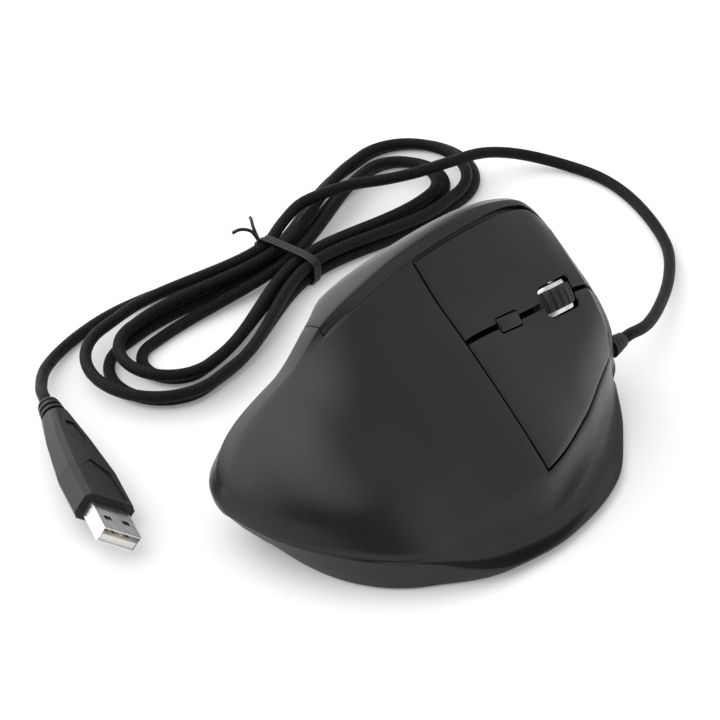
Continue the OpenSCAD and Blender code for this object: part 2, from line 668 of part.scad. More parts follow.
// Two ribs from the base floor up to the tilted board
module board_stand() {
    color(graphite) {
        upright(stand_y[0], 2.4, board_left + 5, 13, floor_z);
        upright(stand_y[1], 2.4, board_hole + 0.6, 13, floor_z);
    }
}

// Micro switch with the hole that its plunger moves in
module micro_switch(spot) {
    color([0.1, 0.1, 0.1])
        on_face()
            translate([spot[0], spot[1], board_n])
                difference() {
                    translate([-switch_size[0] / 2, -4.6, 0])
                        cube(switch_size);
                    translate([0, 0, 4])
                        cylinder(h = 4, r = 1.2 + clear, $fn = 32);
                }
}

module plunger(spot) {
    color("white")
        on_face()
            translate([spot[0], spot[1], plunger_top - 2.4])
                cylinder(h = 2.4, r = 1.2, $fn = 32);
}

module left_switch() {
    micro_switch(left_spot);
}

module left_plunger() {
    plunger(left_spot);
}

module right_switch() {
    micro_switch(right_spot);
}

module right_plunger() {
    plunger(right_spot);
}

// Small tactile switch standing on z = 0, and its stem
module tact() {
    color([0.15, 0.15, 0.16])
        difference() {
            translate([-tact_side / 2, -tact_side / 2, 0])
                cube([tact_side, tact_side, tact_h]);
            translate([0, 0, 0.5])
                cylinder(h = tact_h, r = stem_r + clear, $fn = 32);
        }
}

module tact_stem(top) {
    color([0.6, 0.1, 0.08])
        translate([0, 0, 1.2])
            cylinder(h = top - 1.2, r = stem_r, $fn = 32);
}

module at_wheel_switch() {
    on_face()
        translate([-post_in - post_t - 0.3 - tact_side / 2, 0, board_n])
            children();
}

module wheel_switch() {
    at_wheel_switch() tact();
}

module wheel_stem() {
    at_wheel_switch() tact_stem(axle_n - axle_d / 2 - clear / 2 - board_n);
}

module at_dpi_switch() {
    on_face()
        translate([dpi_spot[0], dpi_spot[1], board_n])
            children();
}

module dpi_switch() {
    at_dpi_switch() tact();
}

module dpi_stem() {
    at_dpi_switch() tact_stem(tact_h + 1.2);
}

module at_thumb_switch(y) {
    translate([thumb_board_x, y, thumb_z])
        rotate([0, -90, 0])
            children();
}

module forward_switch() {
    at_thumb_switch(forward_y) tact();
}

module forward_stem() {
    at_thumb_switch(forward_y) tact_stem(tact_h + 1.2);
}

module back_switch() {
    at_thumb_switch(back_y) tact();
}

module back_stem() {
    at_thumb_switch(back_y) tact_stem(tact_h + 1.2);
}

module thumb_board() {
    color(board_green)
        translate([thumb_board_x, back_y - 6, thumb_z - thumb_board_h / 2])
            cube([board_t, forward_y - back_y + 12, thumb_board_h]);
}

// Board over the base floor, with the motion sensor and its optics under it
module base_board() {
    color(board_green)
        translate([base_board_at[0], base_board_at[1], board_z])
            difference() {
                translate([-base_board_size[0] / 2, -base_board_size[1] / 2, 0])
                    cube([base_board_size[0], base_board_size[1], board_t]);
                for (p = standoffs)
                    translate([p[0] - base_board_at[0], p[1] - base_board_at[1], -1])
                        cylinder(h = board_t + 2, r = 1.2, $fn = 32);
            }
}

module motion_sensor() {
    color([0.08, 0.08, 0.08])
        translate([sensor_at[0] - 5, sensor_at[1] - 6, board_z - 1.8])
            cube([10, 12, 1.8]);
}

module sensor_lens() {
    color([0.8, 0.85, 0.9, 0.6])
        translate([sensor_at[0], sensor_at[1], floor_z]) {
            difference() {
                translate([-7, -9, 0])
                    cube([14, 18, board_z - 1.8 - floor_z]);
                translate([0, 0, -1])
                    cylinder(h = 2.4, r = 3, $fn = 32);
            }
        }
}

module light_source() {
    color([0.9, 0.3, 0.3])
        translate([sensor_at[0], sensor_at[1] + 9.2, floor_z + 2.2])
            rotate([-90, 0, 0])
                cylinder(h = 4.6, r = 1.5, $fn = 32);
}

module controller_chip() {
    color([0.06, 0.06, 0.06])
        translate([-14, -24, board_z + board_t])
            cube([9, 7, 1.5]);
}

module cable_socket() {
    color([0.92, 0.9, 0.84])
        translate([1, base_board_at[1] + base_board_size[1] / 2 - 5, board_z + board_t])
            cube([9, 5, 4.5]);
}

socket_at = [5.5, base_board_at[1] + base_board_size[1] / 2, board_z + board_t + 2.2];
module inner_cable() {
    inner_route = [relief_at + [0, -7.4, 0], relief_at + [0.2, -11, 0], [4.5, 42, 13.5], [6.5, 28, 12.8],
        socket_at + [0, 4, 0], socket_at];
    color(cord_black)
        tube(smooth(inner_route, 3), cord_d - 0.6, 8, [0, -1, 0], [0, -1, 0]);
}

module board_ribbon() {
    color([0.8, 0.8, 0.82])
        upright(10.6, 0.4, 4, 12, board_z + board_t);
}

module thumb_ribbon() {
    color([0.8, 0.8, 0.82])
        translate([thumb_board_x + board_t / 2 - 0.2, back_y - 3, board_z + board_t])
            cube([0.4, 6, thumb_z - thumb_board_h / 2 - board_z - board_t]);
}

module board_screws() {
    color(steel)
        for (p = standoffs)
            translate([p[0], p[1], 0]) {
                translate([0, 0, board_z + board_t])
                    cylinder(h = 1.2, r = 2, $fn = 32);
                translate([0, 0, board_z - 3])
                    cylinder(h = 3 + board_t, r = 0.9, $fn = 32);
            }
}

// Boot that grips the cord where it leaves the nose
module strain_relief() {
    r = cord_d / 2;
    color(cord_black)
        translate(relief_at)
            rotate([-90, 0, 0])
                rotate_extrude($fn = 48)
                    polygon([[0, -7.4], [r + 0.9, -7.4], [r + 0.9, -6], [r + 0.4, -6], [r + 0.4, -0.2],
                        [r + 1.4, -0.2], [r + 1, 2], [r + 0.5, relief_out], [0, relief_out]]);
}

// Cord: lead, hank and tail
lead_path = concat([relief_at + [0, relief_out, 0], relief_at + [0, relief_out + cord_d, 0]],
    lead_route, [hank_last + hank_dir * cord_d + [-0.4, 0, 0.2], hank_last + hank_dir * eps]);
tail_path = concat([hank_first, hank_first - hank_dir * cord_d], tail_route,
    [neck_at - plug_dir * cord_d, neck_at]);

module cord_lead() {
    color(cord_black)
        tube(smooth(lead_path, 2), cord_d, 8, [0, 1, 0], -hank_dir);
}

module cord_hank() {
    path = concat([hank_first], [for (k = [1:24 * hank_loops - 1]) hank_point(k / 24)], [hank_last]);
    color(cord_black)
        tube(path, cord_d, 6, hank_dir, hank_dir);
}

module cord_tail() {
    color(cord_black)
        tube(smooth(tail_path, 2), cord_d, 8, -hank_dir, plug_dir);
}

// Least gap of the hank to itself, on points along it that are half a loop or more apart
function hank_gap() =
    let (n = 72, p = [for (k = [0:n * hank_loops]) hank_point(min(k / n, hank_loops - eps / 100))])
    min([for (i = [0:len(p) - 1]) for (j = [i + n / 4:1:len(p) - 1]) norm(p[i] - p[j])]) - cord_d;
echo(hank_gap = hank_gap());  // cord_hank

module in_hank() {
    translate([hank_at[0], hank_at[1], 0]) rotate([0, 0, hank_turn]) children();
}

// Band round the waist of the hank, with its two twisted ends
module twist_tie() {
    half = cord_d / 2 + tie_gap;
    left = -1.1 - hank_step * hank_loops / 2 - half;
    right = 1.1 + hank_step * (hank_loops - 1) / 2 + half;
    low = hank_first[2] - half;
    high = hank_last[2] + half;
    tie_w = 2;
    color(cord_black)
        in_hank() {
            translate([0, tie_w / 2, 0])
                rotate([90, 0, 0])
                    linear_extrude(tie_w)
                        difference() {
                            translate([left - tie_t, low - tie_t])
                                square([right - left + 2 * tie_t, high - low + 2 * tie_t]);
                            translate([left, low])
                                square([right - left, high - low]);
                        }
            for (a = [-35, 20])
                translate([left - tie_t / 2, 0, high])
                    rotate([0, -60, a])
                        cylinder(h = 9, r = 0.7, $fn = 16);
        }
}

// Overmould: a blunt front, a taper to a ribbed neck, and a sunk panel and a cut on each flat side
module plug_grip() {
    neck_r = cord_d / 2 + 2;
    body_back = -0.62 * grip_l;
    front_l = 0.3 * grip_l;
    color(charcoal)
        in_plug() {
            difference() {
                union() {
                    hull() {
                        translate([-eps, 0, 0])
                            rotate([0, -90, 0])
                                linear_extrude(front_l)
                                    grip_outline(grip_h, grip_w, 1.4);
                        translate([body_back, 0, 0])
                            rotate([0, -90, 0])
                                linear_extrude(0.1)
                                    grip_outline(grip_h * 0.88, grip_w * 0.74, 1.4);
                    }
                    hull() {
                        translate([body_back, 0, 0])
                            rotate([0, -90, 0])
                                linear_extrude(0.1)
                                    grip_outline(grip_h * 0.88, grip_w * 0.74, 1.4);
                        translate([-grip_l * 0.84, 0, 0])
                            rotate([0, -90, 0])
                                cylinder(h = 1, r = neck_r + 0.3, $fn = 24);
                    }
                }
                for (m = [0, 1])
                    mirror([0, 0, m]) {
                        translate([0, 0, grip_h / 2 - 0.5])
                            linear_extrude(2)
                                polygon([[-1.6, -grip_w / 2 + 2.4], [-1.6, grip_w / 2 - 2.4],
                                    [-front_l + 1, grip_w / 2 - 3.4], [-front_l - 4, 0],
                                    [-front_l + 1, -grip_w / 2 + 3.4]]);
                        translate([body_back - 1, 0, grip_h * 0.44 - 0.3])
                            linear_extrude(2)
                                polygon([[8, 0], [1, 3], [-5, 1.4], [-5, -1.4], [1, -3]]);
                    }
            }
            rotate([0, -90, 0])
                rotate_extrude($fn = 32)
                    polygon([[0, 0.8 * grip_l], [neck_r, 0.8 * grip_l], [neck_r, 0.87 * grip_l],
                        [neck_r - 0.8, 0.875 * grip_l], [neck_r - 0.8, 0.89 * grip_l],
                        [neck_r - 0.1, 0.895 * grip_l], [neck_r - 0.2, 0.915 * grip_l],
                        [neck_r - 0.9, 0.92 * grip_l], [neck_r - 0.9, 0.935 * grip_l],
                        [neck_r - 0.3, 0.94 * grip_l], [neck_r - 0.4, 0.96 * grip_l],
                        [neck_r - 1, 0.965 * grip_l], [neck_r - 1, 0.98 * grip_l],
                        [neck_r - 0.6, 0.985 * grip_l], [neck_r - 0.8, grip_l], [0, grip_l]]);
        }
}

// Outline of the overmould with cut corners
module grip_outline(h, w, cut) {
    polygon([[-h / 2 + cut, -w / 2], [h / 2 - cut, -w / 2], [h / 2, -w / 2 + cut], [h / 2, w / 2 - cut],
        [h / 2 - cut, w / 2], [-h / 2 + cut, w / 2], [-h / 2, w / 2 - cut], [-h / 2, -w / 2 + cut]]);
}

module plug_shell() {
    color(steel)
        in_plug()
            difference() {
                translate([0, -usb_w / 2, -usb_h / 2])
                    cube([usb_l, usb_w, usb_h]);
                translate([-1, -usb_w / 2 + usb_t, -usb_h / 2 + usb_t])
                    cube([usb_l + 2, usb_w - 2 * usb_t, usb_h - 2 * usb_t]);
                for (s = [-1, 1])
                    translate([usb_l * 0.45, s * 2.9 - 1.2, -usb_h])
                        cube([2.2, 2.4, 2 * usb_h]);
            }
}

tongue_h = 1.9;
module plug_tongue() {
    color("white")
        in_plug()
            translate([0, -usb_w / 2 + usb_t, -usb_h / 2 + usb_t])
                cube([usb_l - 0.6, usb_w - 2 * usb_t, tongue_h]);
}

module plug_contacts() {
    color("gold")
        in_plug()
            for (k = [-1.5:1:1.5])
                translate([1, k * 2.2 - 0.5, -usb_h / 2 + usb_t + tongue_h])
                    cube([usb_l - 3, 1, 0.2]);
}

upper_shell();
nose_cover();
thumb_cover();
base_shell();
left_button();
right_button();
dpi_button();
forward_button();
back_button();
wheel_tyre();
wheel_hub();
wheel_rims();
wheel_axle();
wheel_bracket();
wheel_sensor();
button_board();
board_stand();
left_switch();
left_plunger();
right_switch();
right_plunger();
wheel_switch();
wheel_stem();
dpi_switch();
dpi_stem();
thumb_board();
forward_switch();
forward_stem();
back_switch();
back_stem();
base_board();
motion_sensor();
sensor_lens();
light_source();
controller_chip();
cable_socket();
inner_cable();
board_ribbon();
thumb_ribbon();
board_screws();
glide_feet();
strain_relief();
cord_lead();
cord_hank();
cord_tail();
twist_tie();
plug_grip();
plug_shell();
plug_tongue();
plug_contacts();
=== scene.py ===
# %% [markdown]
# A wired vertical mouse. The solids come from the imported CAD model, which is the fixed frame of this scene.
# Here the moulded skins get their soft edges, the cord its braid, and each surface its finish.

# %% Load the frame
import math
import bmesh
import bpy
import numpy as np
from mathutils import Matrix, Vector


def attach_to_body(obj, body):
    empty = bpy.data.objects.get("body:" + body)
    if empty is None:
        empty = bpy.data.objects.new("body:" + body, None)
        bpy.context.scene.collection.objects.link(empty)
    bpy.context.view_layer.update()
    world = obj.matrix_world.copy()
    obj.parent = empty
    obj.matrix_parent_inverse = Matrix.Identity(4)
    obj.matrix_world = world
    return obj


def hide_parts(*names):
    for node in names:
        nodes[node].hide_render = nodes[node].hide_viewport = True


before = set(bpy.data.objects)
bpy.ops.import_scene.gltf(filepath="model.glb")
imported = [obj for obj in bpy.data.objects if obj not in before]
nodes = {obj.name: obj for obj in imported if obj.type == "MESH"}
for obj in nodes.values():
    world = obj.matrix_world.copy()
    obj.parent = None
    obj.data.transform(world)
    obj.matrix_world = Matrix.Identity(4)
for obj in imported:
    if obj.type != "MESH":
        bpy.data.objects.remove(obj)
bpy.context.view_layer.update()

MM = 0.001

# %% [markdown]
# The photograph was taken from behind the heel, high on the little finger's side, with a long lens.
# A long lens keeps the plug and the far loops of the cord almost equally large.
# The camera is set by two angles round the object, so both can be tuned one at a time.

# %% Camera
def toward(azimuth, elevation):
    a, e = math.radians(azimuth), math.radians(elevation)
    return Vector((math.sin(a) * math.cos(e), -math.cos(a) * math.cos(e), math.sin(e)))


VIEW_ROUND, VIEW_UP, VIEW_FAR = 42, 36, 1.0
look_at = Vector((-34.8, 0.5, 25)) * MM
view_from = toward(VIEW_ROUND, VIEW_UP)
lens_data = bpy.data.cameras.new("photo_camera")
lens_data.sensor_width = 36
lens_data.lens = 186
lens_data.clip_start, lens_data.clip_end = 0.05, 20
camera = bpy.data.objects.new("photo_camera", lens_data)
bpy.context.scene.collection.objects.link(camera)
camera.location = look_at + view_from * VIEW_FAR
camera.rotation_euler = (-view_from).to_track_quat("-Z", "Y").to_euler()
bpy.context.scene.camera = camera
print("camera at", [round(c, 3) for c in camera.location])

# %% [markdown]
# Materials are made from nodes, so they need no pictures. A few short helpers add the nodes that all of them
# share: a noise, a range that it is spread over, a ramp between two tints, and a bump.

# %% Node helpers
def new_material(name):
    material = bpy.data.materials.new(name)
    material.use_nodes = True
    tree = material.node_tree
    shader = tree.nodes["Principled BSDF"]
    return material, tree, shader


def link(tree, a, out, b, into):
    tree.links.new(a.outputs[out], b.inputs[into])


def noise(tree, scale, detail=2.0):
    place = tree.nodes.new("ShaderNodeTexCoord")
    node = tree.nodes.new("ShaderNodeTexNoise")
    node.inputs["Scale"].default_value = scale
    node.inputs["Detail"].default_value = detail
    link(tree, place, "Object", node, "Vector")
    return node


def spread(tree, source, out, low, high, low_in=0.3, high_in=0.7):
    node = tree.nodes.new("ShaderNodeMapRange")
    node.inputs["From Min"].default_value = low_in
    node.inputs["From Max"].default_value = high_in
    node.inputs["To Min"].default_value = low
    node.inputs["To Max"].default_value = high
    link(tree, source, out, node, "Value")
    return node


def tint(tree, source, out, dark, light):
    node = tree.nodes.new("ShaderNodeValToRGB")
    node.color_ramp.elements[0].position = 0.3
    node.color_ramp.elements[0].color = (*dark, 1)
    node.color_ramp.elements[1].position = 0.7
    node.color_ramp.elements[1].color = (*light, 1)
    link(tree, source, out, node, "Fac")
    return node


def bumped(tree, shader, source, out, depth, strength=1.0):
    node = tree.nodes.new("ShaderNodeBump")
    node.inputs["Distance"].default_value = depth
    node.inputs["Strength"].default_value = strength
    link(tree, source, out, node, "Height")
    link(tree, node, "Normal", shader, "Normal")


print("node helpers ready")

# %% [markdown]
# A moulded plastic is not one flat colour: its tint drifts a little over the part, and a fine spark-eroded
# grain in the mould breaks up its gloss. One helper makes all the plastics with these two noises.
# Their shine is a trace cool, as black plastic looks under a studio's white light.

# %% Plastics
DRIFT_SCALE, COOL_SHINE = 45, (0.94, 0.95, 1, 1)


def plastic(name, rgb, rough, grain=1800, depth=0.00002, drift=0.12, shine=0.4):
    material, tree, shader = new_material(name)
    wide = noise(tree, DRIFT_SCALE, 3)
    fine = noise(tree, grain, 3)
    dark = [c * (1 - drift) for c in rgb]
    light = [c * (1 + drift) for c in rgb]
    link(tree, tint(tree, wide, "Fac", dark, light), "Color", shader, "Base Color")
    link(tree, spread(tree, fine, "Fac", rough - 0.05, rough + 0.05), "Result", shader, "Roughness")
    shader.inputs["Specular IOR Level"].default_value = shine
    shader.inputs["Specular Tint"].default_value = COOL_SHINE
    bumped(tree, shader, fine, "Fac", depth, 0.6)
    return material


before = len(bpy.data.materials)
shell_satin = plastic("shell_satin", (0.0052, 0.0052, 0.0062), 0.3, shine=0.34)
cover_satin = plastic("cover_satin", (0.006, 0.006, 0.007), 0.28, shine=0.34)
base_matt = plastic("base_matt", (0.014, 0.014, 0.015), 0.5, 1200, 0.00003, shine=0.34)
inner_plastic = plastic("inner_plastic", (0.02, 0.02, 0.022), 0.5)
plug_satin = plastic("plug_satin", (0.004, 0.004, 0.0045), 0.34, 1500, 0.00003, shine=0.3)
relief_rubber = plastic("relief_rubber", (0.005, 0.005, 0.0055), 0.55)
tyre_rubber = plastic("tyre_rubber", (0.005, 0.005, 0.0055), 0.55, 1500, 0.00004)
white_plastic = plastic("white_plastic", (0.75, 0.74, 0.7), 0.35, drift=0.05)
red_plastic = plastic("red_plastic", (0.35, 0.03, 0.02), 0.35)
ribbon_plastic = plastic("ribbon_plastic", (0.45, 0.45, 0.47), 0.45)
glide_slick = plastic("glide_slick", (0.02, 0.02, 0.022), 0.25, 600, 0.00001)
tie_plastic = plastic("tie_plastic", (0.004, 0.004, 0.004), 0.45)
print("plastics:", len(bpy.data.materials) - before)

# %% [markdown]
# Metal differs from plastic in that it has no colour under its reflection.
# Drawn or rolled steel has faint lines along one way, so its noise is stretched along the strip.
# Plated rings are smoother and brighter, with only a trace of polishing haze.

# %% Metals
GRAIN_TURN, DULL = math.radians(27), 0.86


def metal(name, rgb, rough, stretch=(1, 1, 1), scale=900, haze=0.05):
    material, tree, shader = new_material(name)
    place = tree.nodes.new("ShaderNodeTexCoord")
    turn = tree.nodes.new("ShaderNodeMapping")
    turn.inputs["Scale"].default_value = stretch
    turn.inputs["Rotation"].default_value = (0, 0, GRAIN_TURN)
    streak = tree.nodes.new("ShaderNodeTexNoise")
    streak.inputs["Scale"].default_value = scale
    streak.inputs["Detail"].default_value = 3
    link(tree, place, "Object", turn, "Vector")
    link(tree, turn, "Vector", streak, "Vector")
    dull = [c * DULL for c in rgb]
    link(tree, tint(tree, streak, "Fac", dull, rgb), "Color", shader, "Base Color")
    link(tree, spread(tree, streak, "Fac", rough, rough + haze), "Result", shader, "Roughness")
    shader.inputs["Metallic"].default_value = 1
    bumped(tree, shader, streak, "Fac", 0.000004, 0.5)
    return material


rim_chrome = metal("rim_chrome", (0.66, 0.66, 0.68), 0.14)
plug_steel = metal("plug_steel", (0.78, 0.78, 0.8), 0.16, (0.08, 1, 1), 1400, 0.12)
pin_steel = metal("pin_steel", (0.7, 0.7, 0.72), 0.3)
contact_gold = metal("contact_gold", (0.9, 0.68, 0.32), 0.2)
print("metals:", rim_chrome.name, plug_steel.name, pin_steel.name, contact_gold.name)

# %% [markdown]
# Two finishes inside the case are neither plain plastic nor metal. The sensor's lens lets light through. A circuit
# board is green under its mask, and copper tracks lift the mask a little, which a fine brick pattern imitates.

# %% Lens and board
lens_clear, tree, shader = new_material("lens_clear")
ripple = noise(tree, 120, 1)
link(tree, tint(tree, ripple, "Fac", (0.82, 0.86, 0.9), (0.95, 0.97, 1)), "Color", shader, "Base Color")
link(tree, spread(tree, ripple, "Fac", 0.04, 0.12), "Result", shader, "Roughness")
shader.inputs["Transmission Weight"].default_value = 0.9
shader.inputs["IOR"].default_value = 1.49

board_mask, tree, shader = new_material("board_mask")
place = tree.nodes.new("ShaderNodeTexCoord")
tracks = tree.nodes.new("ShaderNodeTexBrick")
tracks.inputs["Scale"].default_value = 260
tracks.inputs["Color1"].default_value = (0.008, 0.075, 0.03, 1)
tracks.inputs["Color2"].default_value = (0.01, 0.1, 0.04, 1)
tracks.inputs["Mortar"].default_value = (0.03, 0.16, 0.06, 1)
tracks.inputs["Mortar Size"].default_value = 0.03
link(tree, place, "Object", tracks, "Vector")
link(tree, tracks, "Color", shader, "Base Color")
link(tree, spread(tree, noise(tree, 300), "Fac", 0.28, 0.4), "Result", shader, "Roughness")
bumped(tree, shader, tracks, "Fac", 0.00004)
print("inside finishes:", lens_clear.name, board_mask.name)

# %% [markdown]
# The cord is sleeved in a tight braid. Strands run round it both ways and pass over and under each other,
# which leaves a net of small diamonds. Two sine waves that lean opposite ways, multiplied, give that net, as a bump
# and as painted shade that darkens the grooves between strands.
# They read the cord's own coordinates: once round it, and along its length.

# %% Braid material
cord_braid, tree, shader = new_material("cord_braid")
place = tree.nodes.new("ShaderNodeTexCoord")
axes = tree.nodes.new("ShaderNodeSeparateXYZ")
link(tree, place, "UV", axes, "Vector")


def calc(tree, operation, a, b=None):
    node = tree.nodes.new("ShaderNodeMath")
    node.operation = operation
    for socket, value in enumerate((a, b)):
        if value is None:
            continue
        if isinstance(value, (int, float)):
            node.inputs[socket].default_value = value
        else:
            tree.links.new(value, node.inputs[socket])
    return node.outputs[0]


STRANDS = 10
around = calc(tree, "MULTIPLY", axes.outputs["X"], math.pi * STRANDS)
length_wise = calc(tree, "MULTIPLY", axes.outputs["Y"], math.pi * STRANDS)
one_way = calc(tree, "SINE", calc(tree, "ADD", around, length_wise))
other_way = calc(tree, "SINE", calc(tree, "SUBTRACT", around, length_wise))
net = calc(tree, "MULTIPLY", one_way, other_way)
lift = calc(tree, "ABSOLUTE", net)
# Painted shade: this ramp darkens the grooves between strands and lightens the strands' crests.
groove_shade_ramp = tree.nodes.new("ShaderNodeValToRGB")
groove_shade_ramp.color_ramp.elements[0].color = (0.0004, 0.0004, 0.0004, 1)
groove_shade_ramp.color_ramp.elements[1].color = (0.003, 0.003, 0.0031, 1)
tree.links.new(lift, groove_shade_ramp.inputs["Fac"])
link(tree, groove_shade_ramp, "Color", shader, "Base Color")
shader.inputs["Specular IOR Level"].default_value = 0.13
link(tree, spread(tree, noise(tree, 900), "Fac", 0.4, 0.6), "Result", shader, "Roughness")
STRAND_RISE = 0.22 * MM
bumped(tree, shader, lift.node, 0, STRAND_RISE)
print("braid strands round the cord:", 2 * STRANDS)

# %% [markdown]
# The cord lies as it comes out of its box: it leaves the nose, sweeps round behind the mouse, runs over the
# far end of the hank into its waist, and after the last loop a short tail goes to the plug.
# The points are those of the CAD model, in millimetres.

# %% Route of the cord
CORD_D = 3.4
HANK_LOOPS, HANK_REACH, HANK_LOBE, HANK_STEP = 4, 82, 20, 4.1
HANK_SHORT, HANK_NARROW, HANK_WIDER, HANK_WAIST, HANK_HUMP = 5, 6, 1.8, 1.1, 1.1
HANK_SPREAD = HANK_REACH - HANK_LOBE - HANK_SHORT * HANK_LOOPS / 2 - 2
HANK_AT, HANK_TURN = np.array((-100.5, 43.5)), math.radians(5)
HANK_DIR = np.array((-math.sin(HANK_TURN), math.cos(HANK_TURN), 0.0))
RELIEF_AT, RELIEF_OUT = np.array((2.0, 62.5, 13.5)), 5.5
PLUG_AT, PLUG_TURN, GRIP_L = np.array((-54.5, -77.5, 8.4)), math.radians(-27), 50
PLUG_DIR = np.array((math.cos(PLUG_TURN), math.sin(PLUG_TURN), 0.0))
lead_route = [(0.5, 81, 11), (-6, 95.5, 7.4), (-15, 111, 4.4), (-26, 124.5, 2.4), (-39, 133.5, 1.8),
              (-53, 139.5, 1.8), (-65, 141.5, 1.8), (-76, 139.5, 2.2), (-85, 133.5, 4.5), (-89.5, 125.5, 7.8),
              (-92, 116.5, 10.6), (-94.5, 105.5, 11.6), (-98, 95, 11.6), (-102.5, 86, 11.6), (-107.5, 78, 11.6),
              (-111, 69.5, 11.2), (-113.3, 61.5, 10.2), (-112.7, 53.5, 8.2)]
tail_route = [(-110.7, 33.5, 2.6), (-113.5, 27, 2.2), (-118, 17, 1.8), (-121.5, 6, 1.8), (-123.5, -9, 1.8),
              (-122, -25, 2), (-117, -38.5, 3.4), (-109, -48, 6)]
print("points on the lead and the tail:", len(lead_route), len(tail_route))

# %% [markdown]
# A hank is a stack of long loops, held at the waist. One formula gives all of them, so they can't cut through
# each other: each loop is a little narrower than the one before it, and halfway the cord climbs to an upper
# layer and works its way back out. The loops close in at the waist and open towards their round ends.

# %% Loops of the hank
def ease(t):
    return t * t * (3 - 2 * t)


def hank_place(x, s, z):
    c, n = math.cos(HANK_TURN), math.sin(HANK_TURN)
    return np.array((HANK_AT[0] + x * c - s * n, HANK_AT[1] + x * n + s * c, z))


def hank_point(t):
    run = 3 / 24
    rank = HANK_LOOPS / 2 - abs(t - HANK_LOOPS / 2)
    up = ease(min(max((t - HANK_LOOPS / 2) / (2 * run) + 0.5, 0), 1))
    q = t - math.floor(t)
    lobe = HANK_LOBE - HANK_NARROW * rank + HANK_WIDER * up
    waist = HANK_WAIST + HANK_STEP * (HANK_LOOPS / 2 - rank)
    reach = HANK_REACH - HANK_LOBE - HANK_SHORT * rank - 2 * up
    rise = 0.0
    if run <= q < 3 * run:
        turn = math.pi / 2 * (q / run - 2)
        x, s = lobe * math.sin(turn), reach + lobe * math.cos(turn)
    elif 5 * run <= q < 7 * run:
        turn = math.pi / 2 * (q / run - 6)
        x, s = -lobe * math.sin(turn), -reach - lobe * math.cos(turn)
    else:
        s = reach * (q / run if q < run else 4 - q / run if q < 5 * run else (q - 1) / run)
        opened = ease(min(abs(s) / HANK_SPREAD, 1))
        side = waist + (lobe - waist) * opened
        x, rise = (side if 3 * run <= q < 5 * run else -side), 1 - opened
    return hank_place(x, s, CORD_D / 2 + 0.05 + HANK_HUMP * rise + (HANK_STEP - 0.1) * up)


hank_first, hank_last = hank_point(0), hank_point(HANK_LOOPS - 1e-4)
print("hank is", round(hank_last[2] - hank_first[2] + CORD_D, 1), "mm high at the waist")

# %% [markdown]
# Lead, hank and tail become one line. A smooth curve is drawn through the points of the lead and the tail, and
# then the whole line is divided into even steps, so the braid's diamonds have one size along the cord.

# %% Line of the cord
def through(points, steps):
    p = [np.array(q, float) for q in points]
    p = [2 * p[0] - p[1], *p, 2 * p[-1] - p[-2]]
    out = []
    for z, a, b, c in zip(p, p[1:], p[2:], p[3:]):
        for t in np.arange(steps) / steps:
            out.append((2 * a + (b - z) * t + (2 * z - 5 * a + 4 * b - c) * t ** 2
                        + (3 * a - z - 3 * b + c) * t ** 3) / 2)
    return out + [p[-2]]


def evenly(points, step):
    p = np.array(points)
    run = np.concatenate(([0], np.cumsum(np.linalg.norm(np.diff(p, axis=0), axis=1))))
    at = np.linspace(0, run[-1], int(run[-1] / step) + 1)
    return np.stack([np.interp(at, run, p[:, k]) for k in range(3)], 1), run[-1]


neck_at = PLUG_AT - PLUG_DIR * GRIP_L
leaving = [RELIEF_AT + (0, RELIEF_OUT, 0), RELIEF_AT + (0, RELIEF_OUT + CORD_D, 0)]
lead = through([*leaving, *lead_route, hank_last + HANK_DIR * CORD_D + (-0.4, 0, 0.2), hank_last], 12)
hank = [hank_point(k / 160) for k in range(HANK_LOOPS * 160 - 1, 0, -1)]
tail = through([hank_first, hank_first - HANK_DIR * CORD_D, *tail_route, neck_at - PLUG_DIR * CORD_D, neck_at], 12)
cord_line, cord_length = evenly([*lead, *hank, *tail], 1.2)
print("cord length in mm:", round(cord_length), "of it in the hank:", round(evenly(hank, 1.2)[1]))

# %% [markdown]
# A tube along a line needs a frame at each point that turns as little as it can, or the braid would spin.
# Each ring takes over the last ring's side direction and drops the part along the new direction.

# %% Sweep helper
def make_object(name, mesh, material, body="body"):
    piece = bpy.data.objects.new(name, mesh)
    bpy.context.scene.collection.objects.link(piece)
    if material is not None:
        mesh.materials.append(material)
    if body:
        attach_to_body(piece, body)
    return piece


def attach(piece, carrier):
    piece.parent = carrier
    piece.matrix_parent_inverse = carrier.matrix_world.inverted()


def swept(name, line, diameter, sides, material, body="body"):
    line, r = np.array(line), diameter / 2
    ahead = np.gradient(line, axis=0)
    ahead /= np.linalg.norm(ahead, axis=1)[:, None]
    side = np.cross(ahead[0], (0.0, 0.0, 1.0))
    verts, run, runs = [], 0.0, []
    for i, (p, t) in enumerate(zip(line, ahead)):
        side = side - t * side.dot(t)
        side /= np.linalg.norm(side)
        up = np.cross(side, t)
        if i:
            run += np.linalg.norm(p - line[i - 1])
        runs.append(run)
        for k in range(sides):
            a = 2 * math.pi * k / sides
            verts.append((p + (side * math.cos(a) + up * math.sin(a)) * r) * MM)
    faces, uvs = [], []
    turn = math.pi * diameter
    for i in range(len(line) - 1):
        for k in range(sides):
            j = (k + 1) % sides
            faces.append((i * sides + k, i * sides + j, (i + 1) * sides + j, (i + 1) * sides + k))
            u0, u1, v0, v1 = k / sides, (k + 1) / sides, runs[i] / turn, runs[i + 1] / turn
            uvs += [(u0, v0), (u1, v0), (u1, v1), (u0, v1)]
    last = (len(line) - 1) * sides
    faces += [tuple(range(sides - 1, -1, -1)), tuple(range(last, last + sides))]
    uvs += [(0, 0)] * (2 * sides)
    mesh = bpy.data.meshes.new(name)
    mesh.from_pydata([tuple(v) for v in verts], [], faces)
    layer = mesh.uv_layers.new(name="along")
    for loop, uv in zip(layer.data, uvs):
        loop.uv = uv
    mesh.polygons.foreach_set("use_smooth", [True] * (len(faces) - 2) + [False] * 2)
    return make_object(name, mesh, material, body)


print("sweep helper ready")

# %% [markdown]
# The cord itself is one tube along that line. It takes the place of three plain CAD solids, and sixteen sides
# are enough to look round at its thickness.

